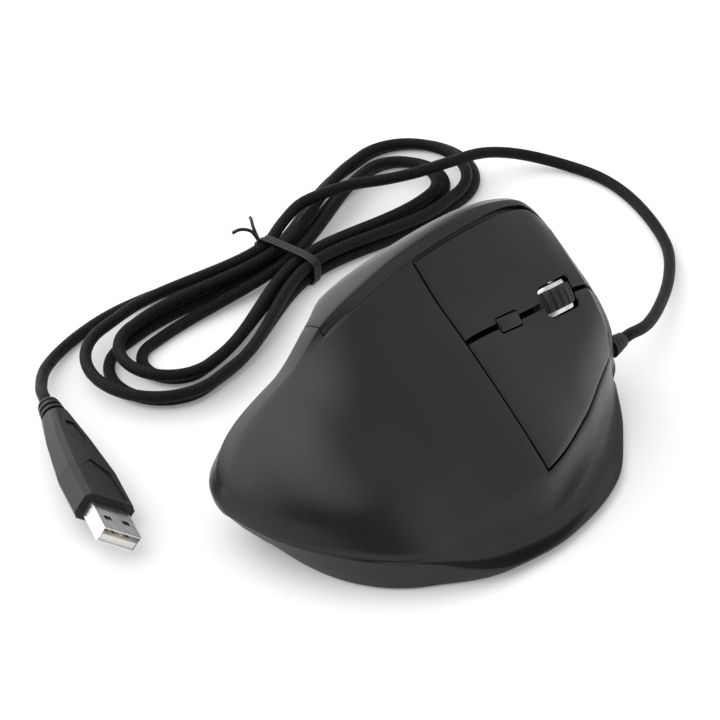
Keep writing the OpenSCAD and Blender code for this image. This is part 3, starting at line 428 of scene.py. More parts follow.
# %% Cord
cord = swept("braided_cord", cord_line, CORD_D, 16, cord_braid)
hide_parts("cord_lead", "cord_hank", "cord_tail")
print("cord rings:", len(cord_line))

# %% [markdown]
# The body is one sculpted skin, cut into covers and buttons. It is drawn from guide rails that run from heel
# to nose: the skirt's lip, the foot of the finger face, the split, the seam, the crest and the thumb rest.
# The rails are the CAD model's own, given at eight stations, and a smooth curve runs along each. Other rows give
# how far the skin bows out, hollows or tucks in between two rails.

# %% Guide rails
STATION = np.array((-60, -38, -26, -16, 4, 29, 46, 58.0))
LIP = np.array([(9.5, 12), (24.5, 9.6), (33, 5.6), (36.5, 3.6), (38, 3), (32.5, 3), (20.5, 4), (9, 7.0)])
FOOT = np.array([(9, 15.5), (21.5, 13.5), (23, 14.5), (25, 15.5), (28.5, 18), (20.5, 17), (12.5, 18), (7, 18.0)])
SPLIT = np.array([(-4.5, 29.5), (0, 33.5), (-0.5, 37.5), (-1, 41), (-0.7, 45), (-0.7, 41.5), (-0.7, 39.5),
                  (-0.7, 38.0)])
SEAM = np.array([(-28, 33.5), (-23, 44.5), (-22.5, 54), (-21, 58), (-20, 62.4), (-18, 64), (-18, 59.8),
                 (-16, 50.4)])
CREST = np.array([(-36.5, 31), (-29.5, 42.5), (-27.6, 55.4), (-28.2, 60.6), (-26, 65), (-23.8, 65.1), (-22.2, 60),
                  (-20, 51.6)])
EDGE_SHARE = np.array((0.6, 0.6, 0.45, 0.45, 0.55, 0.7, 0.7, 0.6))
EDGE_LIFT = np.array((0.6, 0.8, 1.2, 1.2, 1, 0.6, 0.5, 0.4))
BROW = np.array((1.5, 2, 3.5, 8, 9, 5, 2, 1.0))
REST = np.array([(-38, 10.5), (-37.6, 8), (-37.5, 7), (-37.5, 5), (-37.5, 4), (-33, 4), (-25, 5), (-17, 7.0)])
CROWN = np.array((2, 1.8, 1.8, 1.5, 0.5, 1.5, 2, 2.0))
SHOULDER = np.array((1.5, 1.3, 0.5, -0.1, -0.7, -0.1, 0.2, 0.2))
SCOOP = np.array((-5.2, -3.2, 0, 3, 6, 6, 4, 3.0))
FLARE = np.array((0.2, 1.4, 1.9, 1.9, 1.8, 1.5, 1.2, 1.0))
CREASE = np.array((0, 0.5, 0.7, 0.7, 0.7, 0.5, 0.3, 0.0))
TUCK = np.array((-3.5, 1, 3.5, 4, 4, 4, 4, 4.0))
BROW_WAY, HOLLOW_WAY = np.array((0.68, 0.73)), np.array((0.08, -0.24))
UPPER_THUMB, MID_THUMB, LOW_THUMB = 0.22, 0.58, 0.13
HEEL_END = (-38, -62, 2.3, np.array((-22.0, 14.0)))
NOSE_END = (46, 62.5, 2.6, np.array((2.0, 13.5)))


def along(rail, y):
    y = min(max(y, STATION[0]), STATION[-1])
    k = min(int(np.searchsorted(STATION, y)) - 1, len(STATION) - 2) if y > STATION[0] else 0
    h = STATION[k + 1] - STATION[k]
    t = (y - STATION[k]) / h

    def slope(i):
        a, b = max(i - 1, 0), min(i + 1, len(STATION) - 1)
        return (rail[b] - rail[a]) / (STATION[b] - STATION[a])

    return (rail[k] * (2 * t ** 3 - 3 * t ** 2 + 1) + slope(k) * h * (t ** 3 - 2 * t ** 2 + t)
            + rail[k + 1] * (3 * t ** 2 - 2 * t ** 3) + slope(k + 1) * h * (t ** 3 - t ** 2))


print("crest above the wheel at", round(along(CREST, 42.0)[1], 1), "mm")

# %% [markdown]
# At each place along the body the rails give a section of thirteen points, from the lip over the crest to the
# thumb rest. Towards heel and nose the section shrinks onto a tip, like a superellipse, which closes the ends.

# %% Section
def bowed(a, b, out):
    d = b - a
    return (a + b) / 2 + np.array((d[1], -d[0])) / np.linalg.norm(d) * out


def section(y):
    l, f, s, m, c, r = (along(rail, y) for rail in (LIP, FOOT, SPLIT, SEAM, CREST, REST))
    w, k, e = along(CROWN, y), along(SCOOP, y), along(FLARE, y)
    h = c[1] - r[1]
    top = m + (c - m) * along(EDGE_SHARE, y) + (0, along(EDGE_LIFT, y))
    over = c - BROW_WAY * along(BROW, y)
    hollow = l + (f - l) * (0.5 + HOLLOW_WAY * e)
    p = np.array([l, hollow, f, bowed(f, s, w), s, bowed(s, m, along(SHOULDER, y)), m, top, over,
                  (c[0] - 1 + min(k, 0) / 2, c[1] - UPPER_THUMB * h), (c[0] + k - 2, c[1] - MID_THUMB * h),
                  (r[0] + along(TUCK, y), r[1] + LOW_THUMB * h), r])
    for start, tip, power, pole in (HEEL_END, NOSE_END):
        t = (y - start) / (tip - start)
        if t > 0:
            p = pole + (p - pole) * (1 - min(t, 1) ** power) ** (1 / power)
    return p


print("points in a section:", len(section(0.0)))

# %% [markdown]
# The skin is a smooth curve through each section, so a place on it has two numbers: how far along the body, and
# how far round. Using a finer grid than the CAD model gives its shape without facets. Two things are added here:
# the skirt's hollow is a little deeper, and a soft fold runs along its top, so that it catches a streak of light.

# %% Skin
V_FOOT, V_SPLIT, V_SEAM, V_END = 2, 4, 6, 12


def skin(y, v):
    p = section(y)
    p = np.vstack([2 * p[0] - p[1], p, 2 * p[-1] - p[-2]])
    i = np.clip(np.floor(v).astype(int), 0, len(p) - 4)
    t = (v - i)[:, None]
    z, a, b, c = p[i], p[i + 1], p[i + 2], p[i + 3]
    fold = along(CREASE, y)
    c = np.where((i == 1)[:, None], c + (2 * b - a - c) * fold, c)
    z = np.where((i == 2)[:, None], z + (2 * a - b - z) * fold, z)
    q = (2 * a + (b - z) * t + (2 * z - 5 * a + 4 * b - c) * t ** 2 + (3 * a - z - 3 * b + c) * t ** 3) / 2
    return np.stack([q[:, 0], np.full(len(v), float(y)), q[:, 1]], 1)


def outward(y, v, shape=skin):
    if y <= HEEL_END[1] or y >= NOSE_END[1]:
        return np.tile((0.0, math.copysign(1, y), 0.0), (len(v), 1))
    d = 0.05
    q = min(max(y, HEEL_END[1] + 2 * d), NOSE_END[1] - 2 * d)
    across = shape(q, np.minimum(v + d, V_END)) - shape(q, np.maximum(v - d, 0))
    n = np.cross(shape(q + d, v) - shape(q - d, v), across)
    return n / np.linalg.norm(n, axis=1)[:, None]


def point(y, v):
    return skin(y, np.array([float(v)]))[0]


def per_mm(y, v):
    return 1 / np.linalg.norm(point(y, v + 0.5) - point(y, v - 0.5))


print("ridge height in mm:", round(max(point(y, 7)[2] for y in range(-20, 50)), 1))

# %% [markdown]
# Each moulding is a patch of the skin with a wall behind it. Its edge is broken by a small chamfer,
# because a sharp edge would catch no light: a line of the grid runs close to the edge, and the edge itself
# lies a little lower. The grid's lines therefore stop short of each cut, and one helper lays them out.

# %% Grid lines and finished meshes
def finished(bm, name, material, body, sharp):
    mesh = bpy.data.meshes.new(name)
    bm.to_mesh(mesh)
    bm.free()
    mesh.polygons.foreach_set("use_smooth", [True] * len(mesh.polygons))
    mesh.set_sharp_from_angle(angle=math.radians(sharp))
    return make_object(name, mesh, material, body)


def lines(stops, step, edge):
    out = []
    for a, b in zip(stops, stops[1:]):
        inner = np.linspace(a + edge, b - edge, max(2, int((b - a) / step) + 1))
        out += [a, *inner]
    return np.array(out + [stops[-1]])


print("lines from 0 to 3:", lines([0, 3], 1, 0.2).round(1).tolist())

# %% [markdown]
# The panel helper keeps the cells of the grid that belong to a moulding, and gives them an outer face, an inner
# face and side walls wherever a neighbour is missing. The wall thins towards the lip, as on the real part.

# %% Panel helper
PANEL_SHARP, WALL, EDGE_DROP, FINE_DROP = 55, 2.0, 0.25, 0.1
LIP_SHARE, LIP_GROWTH = 0.3, 0.9


def panel(name, ys, vs, keep, material, body="body", proud=0.0, drop=EDGE_DROP, wall=WALL, shape=skin):
    ny, nv = len(ys), len(vs)
    outer = np.array([shape(y, vs) for y in ys])
    normal = np.array([outward(y, vs, shape) for y in ys])
    thick = wall * np.minimum(1, LIP_SHARE + LIP_GROWTH * np.minimum(vs, V_END - vs))
    kept = np.zeros((ny + 1, nv + 1), bool)
    for i in range(ny - 1):
        for j in range(nv - 1):
            kept[i + 1, j + 1] = keep((ys[i] + ys[i + 1]) / 2, (vs[j] + vs[j + 1]) / 2)
    whole = kept[:-1, :-1] & kept[1:, :-1] & kept[:-1, 1:] & kept[1:, 1:]
    for tip in (0, -1):
        if ys[tip] <= HEEL_END[1] or ys[tip] >= NOSE_END[1]:
            whole[tip] = True
    edge_drop = np.array([[drop(y, v) if callable(drop) else drop for v in vs] for y in ys])
    down = np.where(whole, 0, np.minimum(edge_drop, 0.45 * thick[None, :]))
    top = outer + normal * (proud - down)[:, :, None]
    under = outer - normal * thick[None, :, None]
    bm = bmesh.new()
    corner = {}

    def vert(deep, i, j):
        key = (deep, i, j)
        if key not in corner:
            corner[key] = bm.verts.new((under if deep else top)[i, j] * MM)
        return corner[key]

    for i in range(ny - 1):
        for j in range(nv - 1):
            if not kept[i + 1, j + 1]:
                continue
            ring = [(i, j), (i, j + 1), (i + 1, j + 1), (i + 1, j)]
            bm.faces.new([vert(0, *c) for c in ring])
            bm.faces.new([vert(1, *c) for c in reversed(ring)])
            beside = (kept[i, j + 1], kept[i + 1, j + 2], kept[i + 2, j + 1], kept[i + 1, j])
            for (a, b), open_side in zip(zip(ring, ring[1:] + ring[:1]), beside):
                if not open_side:
                    bm.faces.new([vert(0, *b), vert(0, *a), vert(1, *a), vert(1, *b)])
    bmesh.ops.remove_doubles(bm, verts=bm.verts, dist=1e-6)
    bmesh.ops.dissolve_degenerate(bm, edges=bm.edges, dist=1e-7)
    bmesh.ops.recalc_face_normals(bm, faces=bm.faces)
    return finished(bm, name, material, body, PANEL_SHARP)


print("panel helper ready")

# %% [markdown]
# The case is cut at a few places along the body, and along the rails. The gaps there are given in millimetres,
# and turned into steps round the skin, because the skin's grid counts in those.

# %% Cuts of the case
REAR_Y, FRONT_Y, COVER_Y = 4.0, 57.0, -27.0
SEAM_GAP, STEEP, COVER_GAP = 0.12, 0.4, 0.1
NOSE_Y = FRONT_Y + 2 * STEEP
foot_rise, seam_rise, seam_open = 0.4 * per_mm(25, V_FOOT), 0.1 * per_mm(25, V_SEAM), 1.0 * per_mm(25, V_SEAM)
KEY_GAP = 0.4
split_rise, thumb_rise = 0.65 * per_mm(42, V_SPLIT), KEY_GAP * per_mm(4, 9)
EDGE, EDGE_V = 0.3, 0.022
heel_ys = [HEEL_END[1] + (HEEL_END[0] - HEEL_END[1]) * (1 - math.cos(math.radians(t))) for t in range(0, 90, 3)]
print("gap at the split in rail steps:", round(2 * split_rise, 3))

# %% [markdown]
# The upper shell is the palm and the skirt in one moulding. It goes all round the heel, stops at the ridge
# seam and at the back of the buttons, and runs on below them as the skirt that carries the little finger.

# %% Upper shell
palm_stops = [HEEL_END[0], COVER_Y - COVER_GAP, REAR_Y - SEAM_GAP + 0.3, FRONT_Y]
palm_ys = np.array([*heel_ys, *lines(palm_stops, 1.8, EDGE)])
palm_vs = lines([0, V_FOOT - foot_rise, V_SEAM - seam_rise, V_END], 0.11, EDGE_V)
upper = panel("palm_shell", palm_ys, palm_vs,
              lambda y, v: y < COVER_Y - COVER_GAP or (y < REAR_Y and v < V_SEAM - seam_rise)
              or (y < FRONT_Y and v < V_FOOT - foot_rise), shell_satin,
              drop=lambda y, v: FINE_DROP if v > 2.5 and y < REAR_Y + 1 else EDGE_DROP)
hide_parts("upper_shell")
print("upper shell faces:", len(upper.data.polygons))

# %% [markdown]
# The nose cover closes the front under the buttons, a little set back, and lets the cord out.
# The thumb cover is the other side of the ridge, with a long window for the two thumb buttons.

# %% Nose and thumb covers
nose_ys = np.array([NOSE_Y, NOSE_Y + EDGE, *[NOSE_Y + (NOSE_END[1] - NOSE_Y) * math.sin(math.radians(t))
                                            for t in range(10, 91, 5)]])
NOSE_SLIT_Y = 60
nose_vs = lines([0, V_SPLIT - split_rise, V_SPLIT + split_rise, V_END], 0.14, EDGE_V)
nose = panel("nose_moulding", nose_ys, nose_vs,
             lambda y, v: not (abs(v - V_SPLIT) < split_rise and y < NOSE_SLIT_Y), shell_satin, proud=-0.5)
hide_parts("nose_cover")

BACK, FORWARD, BAND = (-13.0, 2.6), (3.3, 20.0), (8.75, 9.4)
thumb_ys = lines([COVER_Y + COVER_GAP, BACK[0] - KEY_GAP, REAR_Y, FORWARD[1] + KEY_GAP, FRONT_Y], 1.8, EDGE)
thumb_vs = lines([V_SEAM + seam_rise, BAND[0] - thumb_rise, BAND[1] + thumb_rise, V_END], 0.09, EDGE_V)
thumb = panel("thumb_side", thumb_ys, thumb_vs,
              lambda y, v: not (BACK[0] - KEY_GAP < y < FORWARD[1] + KEY_GAP
                                and BAND[0] - thumb_rise < v < BAND[1] + thumb_rise), cover_satin,
              drop=lambda y, v: FINE_DROP if v < 8 and y < REAR_Y else EDGE_DROP)
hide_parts("thumb_cover")
print("nose and thumb cover faces:", len(nose.data.polygons), len(thumb.data.polygons))

# %% [markdown]
# The two thumb buttons stand a little proud of the thumb side, so that the thumb finds them without looking.
# Each has a short stem inside that reaches its switch.

# %% Thumb buttons
def stem(name, start, end, radius, material):
    a, b = Vector(start) * MM, Vector(end) * MM
    bm = bmesh.new()
    bmesh.ops.create_cone(bm, cap_ends=True, segments=32, radius1=radius * MM, radius2=radius * MM,
                          depth=(b - a).length)
    turn = (b - a).to_track_quat("Z", "Y").to_matrix().to_4x4()
    bmesh.ops.transform(bm, matrix=Matrix.Translation((a + b) / 2) @ turn, verts=bm.verts)
    mesh = bpy.data.meshes.new(name)
    bm.to_mesh(mesh)
    bm.free()
    return make_object(name, mesh, material, None)


THUMB_X = point(4, 9)[0]
THUMB_Z = (point(4, BAND[0])[2] + point(4, BAND[1])[2]) / 2
STEM_R, STEM_REACH = 1.4, 4.45
for node, start, end in (("back_button", BACK[0] + KEY_GAP, BACK[1] - KEY_GAP),
                         ("forward_button", FORWARD[0], FORWARD[1] - KEY_GAP)):
    key = panel(node.replace("button", "key"), lines([start, end], 1.2, 0.45),
                lines([BAND[0] + thumb_rise, BAND[1] - thumb_rise], 0.05, 0.04), lambda y, v: True,
                cover_satin, node, proud=0.8, drop=0.45)
    middle = (BACK[0] + BACK[1]) / 2 if node == "back_button" else (4 + FORWARD[1]) / 2
    root_x = point(middle, 9)[0] + 1.2
    foot = stem(node.replace("button", "foot"), (root_x, middle, THUMB_Z),
                (THUMB_X + STEM_REACH, middle, THUMB_Z), STEM_R, cover_satin)
    attach(foot, key)
    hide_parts(node)
print("thumb buttons at height", round(THUMB_Z, 1), "mm")

# %% [markdown]
# The wheel and the DPI key stand in the split between the main buttons, so it helps to have a frame there:
# one axis down the finger face, one forward along the split, and one straight out.

# %% Frame of the finger face
WHEEL_Y, WHEEL_R, WHEEL_PROUD, TYRE_W, RIM_W = 42.0, 8.6, 2.3, 6.0, 1.2
face_at = point(WHEEL_Y, V_SPLIT)
face_out = outward(WHEEL_Y, np.array([float(V_SPLIT)]))[0]
face_fwd = point(WHEEL_Y + 6, V_SPLIT) - point(WHEEL_Y - 14, V_SPLIT)
face_fwd -= face_out * face_fwd.dot(face_out)
face_fwd /= np.linalg.norm(face_fwd)
face_down = np.cross(face_fwd, face_out)
face_frame = Matrix([(*row, at) for row, at in zip(np.stack([face_down, face_fwd, face_out], 1), face_at * MM)]
                    + [(0, 0, 0, 1)])
axle = face_frame @ Matrix.Translation((0, 0, (WHEEL_PROUD - WHEEL_R) * MM))


def in_face(p):
    return np.array([(p - face_at).dot(axis) for axis in (face_down, face_fwd, face_out)])


def from_face(x, y, z):
    return face_frame @ Vector((x * MM, y * MM, z * MM)) / MM


def turned(name, profile, segments, material, place, body="body", radius=None):
    """Lathe about the local X axis; profile holds (x, r) pairs, closed from end to end."""
    bm = bmesh.new()
    rings = []
    for k in range(segments):
        a = 2 * math.pi * k / segments
        ring = []
        for x, r in profile:
            r = r if radius is None else radius(x, r, a)
            ring.append(bm.verts.new(place @ Vector((x * MM, r * MM * math.cos(a), r * MM * math.sin(a)))))
        rings.append(ring)
    for k in range(segments):
        one, two = rings[k], rings[(k + 1) % segments]
        for j in range(len(profile)):
            i = (j + 1) % len(profile)
            bm.faces.new([one[j], one[i], two[i], two[j]])
    bmesh.ops.remove_doubles(bm, verts=bm.verts, dist=1e-7)
    bmesh.ops.dissolve_degenerate(bm, edges=bm.edges, dist=1e-8)
    bmesh.ops.recalc_face_normals(bm, faces=bm.faces)
    return finished(bm, name, material, body, 35)


print("tilt of the finger face in degrees:", round(math.degrees(math.acos(face_out[2])), 1))

# %% [markdown]
# The main buttons have a rounded slot for the wheel and a window for the DPI key. Both are cut out with cutters,
# which are thrown away afterwards. The wheel's cutter is a turned form a little larger than the wheel, so the
# slot's gap is even all round.

# %% Cutter for the wheel
SLOT_R, SLOT_GAP = 1.1, 0.5
reach, half_slot = WHEEL_R + SLOT_GAP, TYRE_W / 2 + RIM_W + SLOT_GAP
round_corner = [(SLOT_R * math.cos(math.radians(t)), SLOT_R * math.sin(math.radians(t))) for t in range(0, 91, 15)]
slot_profile = [(-half_slot, 0.0), *[(-half_slot + SLOT_R - c, reach - SLOT_R + s) for c, s in round_corner],
                *[(half_slot - SLOT_R + c, reach - SLOT_R + s) for c, s in reversed(round_corner)],
                (half_slot, 0.0)]
wheel_cutter = turned("wheel_cutter", slot_profile, 72, None, axle, None)
print("wheel slot in mm:", round(2 * half_slot, 1), "wide,", round(2 * reach, 1), "long at the axle")

# %% [markdown]
# The key's window is a block with round corners. The same helper makes the key itself, with a top that is drawn
# in a little, and the sensor's window later on. The block leans with the split, which isn't quite straight.

# %% Cutter for the key
DPI_Y, DPI_HALF = 21.5, 4
dpi_at = in_face(point(DPI_Y, V_SPLIT))
split_way = in_face(point(DPI_Y + DPI_HALF, V_SPLIT)) - in_face(point(DPI_Y - DPI_HALF, V_SPLIT))
dpi_place = (face_frame @ Matrix.Translation(Vector(dpi_at) * MM)
             @ Matrix.Rotation(-math.atan2(split_way[0], split_way[1]), 4, "Z"))


def rounded_block(name, width, length, low, high, corner, place, material, body, top_in=0.0):
    outline = []
    for sx, sy, start in ((1, 1, 0), (-1, 1, 90), (-1, -1, 180), (1, -1, 270)):
        for t in range(0, 91, 15):
            a = math.radians(start + t)
            outline.append((sx * (width / 2 - corner) + corner * math.cos(a),
                            sy * (length / 2 - corner) + corner * math.sin(a)))
    levels = [(low, 0), (high, 0)]
    if top_in:
        levels[1:] = [(high - top_in, 0), (high - 0.3 * top_in, 0.3 * top_in), (high, top_in)]
    bm = bmesh.new()
    loops = []
    for z, draw in levels:
        sx, sy = 1 - 2 * draw / width, 1 - 2 * draw / length
        loops.append([bm.verts.new(place @ Vector((x * sx * MM, y * sy * MM, z * MM))) for x, y in outline])
    for one, two in zip(loops, loops[1:]):
        for k in range(len(outline)):
            j = (k + 1) % len(outline)
            bm.faces.new([one[k], one[j], two[j], two[k]])
    bm.faces.new(list(reversed(loops[0])))
    bm.faces.new(loops[-1])
    return finished(bm, name, material, body, 50)


dpi_cutter = rounded_block("dpi_cutter", 4.8, 9.2, -6, 6, 1.0, dpi_place, None, None)


def cut(piece, *cutters):
    for cutter in cutters:
        modifier = piece.modifiers.new("cut", "BOOLEAN")
        modifier.operation, modifier.solver, modifier.object = "DIFFERENCE", "EXACT", cutter
    graph = bpy.context.evaluated_depsgraph_get()
    mesh = bpy.data.meshes.new_from_object(piece.evaluated_get(graph))
    piece.modifiers.clear()
    piece.data = mesh
    mesh.set_sharp_from_angle(angle=math.radians(PANEL_SHARP))


print("key's window leans by", round(math.degrees(math.atan2(split_way[0], split_way[1])), 1), "degrees")

# %% [markdown]
# The main buttons are two patches of the skin. Unlike the covers they stay nearly flat up to a crisp front edge,
# so they get a skin of their own that departs from the rounded nose. Towards the ridge seam it goes back to the
# common skin, so that a pressed button stays clear of the thumb cover.

# %% Skin of the main buttons
BROW_Y, BROW_FALL = 54.0, 0.035


def plate_skin(y, v):
    """Skin of the main buttons, which stay nearly flat up to a crisp front edge and then slope off."""
    start, tip, power, pole = NOSE_END
    if y <= start:
        return skin(y, v)

    def rounded(q):
        return (1 - ((q - start) / (tip - start)) ** power) ** (1 / power)

    flat = 1 - BROW_FALL * ((y - start) / (BROW_Y - start)) ** 2
    if y > BROW_Y:
        flat = np.interp(y, (BROW_Y, FRONT_Y), (1 - BROW_FALL, rounded(FRONT_Y)))
    middle = np.array((pole[0], y, pole[1]))
    clear_of_seam = np.clip((V_SEAM - seam_open - v) / 0.3, 0, 1)[:, None]
    return middle + (skin(y, v) - middle) * (1 + clear_of_seam * (flat / rounded(y) - 1))


brow_v = np.array([3.0])
print("front edge stands", round(np.linalg.norm(plate_skin(BROW_Y, brow_v) - skin(BROW_Y, brow_v)), 2), "mm proud")

# %% [markdown]
# On the real part each plate bends in a thin strip at its rear, which shows dark in the gap there, and the left
# one has a web and a lip under the ridge seam that keep light out. These ride with their plate, and so does the
# rib that presses the switch.

# %% Main buttons
PRESS_SPOT = {"left_button": (31, 4.72), "right_button": (28.5, 3.35)}
BOARD_DEEP, SWITCH_TALL, RIB_CLEAR, RIB_R = -12.6, 7.5, 0.15, 1.5
button_ys = lines([REAR_Y + SEAM_GAP + 0.3, BROW_Y, FRONT_Y], 1.5, EDGE)
for node, low, high in (("left_button", V_SPLIT + split_rise, V_SEAM - seam_open),
                        ("right_button", V_FOOT + foot_rise, V_SPLIT - split_rise)):
    plate = panel(node.replace("button", "plate"), button_ys, lines([low, high], 0.1, EDGE_V), lambda y, v: True,
                  shell_satin, node, drop=lambda y, v: FINE_DROP if y < REAR_Y + 1 else EDGE_DROP, shape=plate_skin)
    cut(plate, wheel_cutter, dpi_cutter)
    spot = in_face(point(*PRESS_SPOT[node]))
    rib = stem(node.replace("button", "rib"), from_face(spot[0], spot[1], BOARD_DEEP + SWITCH_TALL + RIB_CLEAR),
               from_face(spot[0], spot[1], spot[2] - 1), RIB_R, shell_satin)
    strip = panel(node.replace("button", "strip"), np.linspace(REAR_Y - 1, REAR_Y + 1.6, 4),
                  np.linspace(low + 0.02, high - 0.02, 12), lambda y, v: True, inner_plastic, None,
                  proud=-2.05, drop=0, wall=2.8)
    inside = [rib, strip]
    if node == "left_button":
        for name, a, b, top in (("left_web", high - 0.08, high - 0.02, 1.9),
                                ("left_lip", high - 0.03, 6.12, 2.15)):
            inside.append(panel(name, np.array([REAR_Y - 0.2, *button_ys]), np.linspace(a, b, 6),
                                lambda y, v: True, inner_plastic, None, proud=-top, drop=0, wall=3.4))
    for extra in inside:
        attach(extra, plate)
    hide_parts(node)
    print(node, "faces:", len(plate.data.polygons))
for cutter in (wheel_cutter, dpi_cutter):
    bpy.data.objects.remove(cutter)

# %% [markdown]
# The DPI key is a small block with a softened top, a little smaller than its window all round. A foot under it
# reaches the switch on the board.

# %% DPI key
dpi_key = rounded_block("dpi_key", 4.0, 8.4, -2.1, 0.5, 0.8, dpi_place, shell_satin, "dpi_button", 0.5)
DPI_FOOT_LOW, DPI_FOOT_R = -9.0, 1.2
dpi_foot = stem("dpi_foot", from_face(dpi_at[0], dpi_at[1], DPI_FOOT_LOW),
                from_face(dpi_at[0], dpi_at[1], dpi_at[2] - 1.5), DPI_FOOT_R, shell_satin)
attach(dpi_foot, dpi_key)
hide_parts("dpi_button")
print("key faces:", len(dpi_key.data.polygons))

# %% [markdown]
# The wheel has a ribbed rubber tyre between two bright plated rings. Ribs come from letting the lathe's radius
# dip at even steps round the axle.

# %% Wheel
RIBS, RIB_DIP = 22, 0.45


def ribbed(x, r, a):
    if r < WHEEL_R - 1:
        return r
    wave = abs((a / (2 * math.pi) * RIBS) % 1 - 0.5) * 2
    return r - RIB_DIP * ease(min(max((wave - 0.55) / 0.3, 0), 1))


inner_r, w = WHEEL_R - 2.4, TYRE_W / 2
tyre_profile = [(-w, inner_r), (-w, WHEEL_R - 0.7), (-w + 0.3, WHEEL_R - 0.3), (-w + 1, WHEEL_R - 0.06),
                (0, WHEEL_R), (w - 1, WHEEL_R - 0.06), (w - 0.3, WHEEL_R - 0.3), (w, WHEEL_R - 0.7), (w, inner_r)]
tyre = turned("ribbed_tyre", tyre_profile, RIBS * 10, tyre_rubber, axle, "wheel", ribbed)
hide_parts("wheel_tyre")
rims = []
for side in (-1, 1):
    x0, x1 = side * w, side * (w + RIM_W)
    top, hole = WHEEL_R - 0.9, WHEEL_R - 3.4
    ring = [(x0, hole), (x0, top), (x0 + (x1 - x0) * 0.7, top), (x0 + (x1 - x0) * 0.92, top - 0.15),
            (x1, top - 0.45), (x1, hole + 0.2), (x0 + (x1 - x0) * 0.85, hole)]
    rims.append(turned("plated_ring_" + ("a" if side < 0 else "b"), ring, 96, rim_chrome, axle, "wheel"))
for ring in rims:
    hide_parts("wheel_rims")
print("tyre faces:", len(tyre.data.polygons))

# %% [markdown]
# The base is a shallow tray under the skins. It shows as a paler band under the heel, where the shell's lip
# rises, and on the thumb's side its wall leans in. It is one closed loft of rings that follow the case's lip.

# %% Base
GLIDE_T, FLOOR_T, BASE_INSET = 0.6, 1.6, 0.5
base_ys = np.array([*heel_ys, *np.linspace(HEEL_END[0], NOSE_Y, 50),
                    *[NOSE_Y + (NOSE_END[1] - NOSE_Y) * math.sin(math.radians(t)) for t in range(10, 91, 8)]])
rim = np.array([point(y, 0) for y in base_ys] + [point(y, V_END) for y in base_ys[-2:0:-1]])
tangent = np.roll(rim, -1, 0)[:, :2] - np.roll(rim, 1, 0)[:, :2]
tangent /= np.linalg.norm(tangent, axis=1)[:, None]
inward = np.stack([-tangent[:, 1], tangent[:, 0]], 1)
base_middle, DRAW_IN, LEAN_PER_MM = np.array((-6.0, 0.0)), 0.045, 0.009
LEAN_FROM_X, LEAN_RUN = 24, 44
thumbward = np.clip((LEAN_FROM_X - rim[:, :1]) / LEAN_RUN, 0, 1)
lean_in = LEAN_PER_MM * rim[:, 2:] * ease(thumbward)


def drawn_in(by):
    return base_middle + (rim[:, :2] - base_middle) * (1 - DRAW_IN - lean_in - by)


def level_at(height):
    return np.full(len(rim), height)


base_top = np.maximum(rim[:, 2] - 0.35, GLIDE_T + FLOOR_T + 0.1)
wall_low, wall_high = drawn_in(-0.002), rim[:, :2] + inward * BASE_INSET
bulge = (wall_low + wall_high) / 2 - inward * 0.4
loops = [(drawn_in(0.012), level_at(GLIDE_T)), (drawn_in(0.003), level_at(GLIDE_T + 0.15)),
         (wall_low, level_at(GLIDE_T + 0.45)), (bulge, (GLIDE_T + 0.45 + base_top) / 2), (wall_high, base_top),
         (rim[:, :2] + inward * (BASE_INSET + 2), base_top - 1), (drawn_in(0.04), level_at(GLIDE_T + FLOOR_T))]
bm = bmesh.new()
rings = [[bm.verts.new((x * MM, y * MM, z * MM)) for (x, y), z in zip(plan, height)] for plan, height in loops]
for one, two in zip(rings, rings[1:]):
    for k in range(len(rim)):
        j = (k + 1) % len(rim)
        bm.faces.new([one[j], one[k], two[k], two[j]])
for ring, height, flip in ((rings[0], GLIDE_T, 1), (rings[-1], GLIDE_T + FLOOR_T, -1)):
    hub = bm.verts.new((0, 0, height * MM))
    for k in range(len(rim)):
        a, b = ring[k], ring[(k + 1) % len(rim)]
        bm.faces.new([hub, a, b][::flip])
bmesh.ops.recalc_face_normals(bm, faces=bm.faces)
base = finished(bm, "base_tray", base_matt, "body", 40)
print("base rings:", len(rings), "of", len(rim), "points")

# %% [markdown]
# Three openings are cut next: the sensor's window in the floor, a stepped hole that holds the cord's boot, and
# the hole in the nose cover that the cord comes out of. Four pillars on the floor take the board's screws.

# %% Openings and pillars
boot_place = Matrix.Translation(Vector(RELIEF_AT) * MM) @ Matrix.Rotation(math.pi / 2, 4, "Z")
window = rounded_block("window_cutter", 8, 10, -1, 4, 1.2, Matrix.Translation((2 * MM, -6 * MM, 0)), None, None)
exit_hole = turned("exit_cutter", [(-14, 0), (-14, 3.1), (-4, 3.1), (-4, 2.2), (6, 2.2), (6, 0)], 48, None,
                   boot_place, None)
cut(base, window, exit_hole)
nose_hole = turned("nose_cutter", [(-12, 0), (-12, 2.2), (6, 2.2), (6, 0)], 48, None, boot_place, None)
cut(nose, nose_hole)
for cutter in (window, exit_hole, nose_hole):
    bpy.data.objects.remove(cutter)
for k, (x, y) in enumerate(((-17, -30), (-17, 8), (15, -30), (15, 8))):
    pillar = turned(f"standoff_{k}", [(-0.5, 0.95), (-0.5, 2.4), (5.8, 2.4), (5.8, 0.95)], 32, base_matt,
                    Matrix.Translation((x * MM, y * MM, 2.2 * MM)) @ Matrix.Rotation(-math.pi / 2, 4, "Y"), None)
    attach(pillar, base)
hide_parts("base_shell")
print("base faces:", len(base.data.polygons))

# %% [markdown]
# Where the cord leaves the nose a small soft boot keeps it from kinking. It is a turned form with shallow rings.

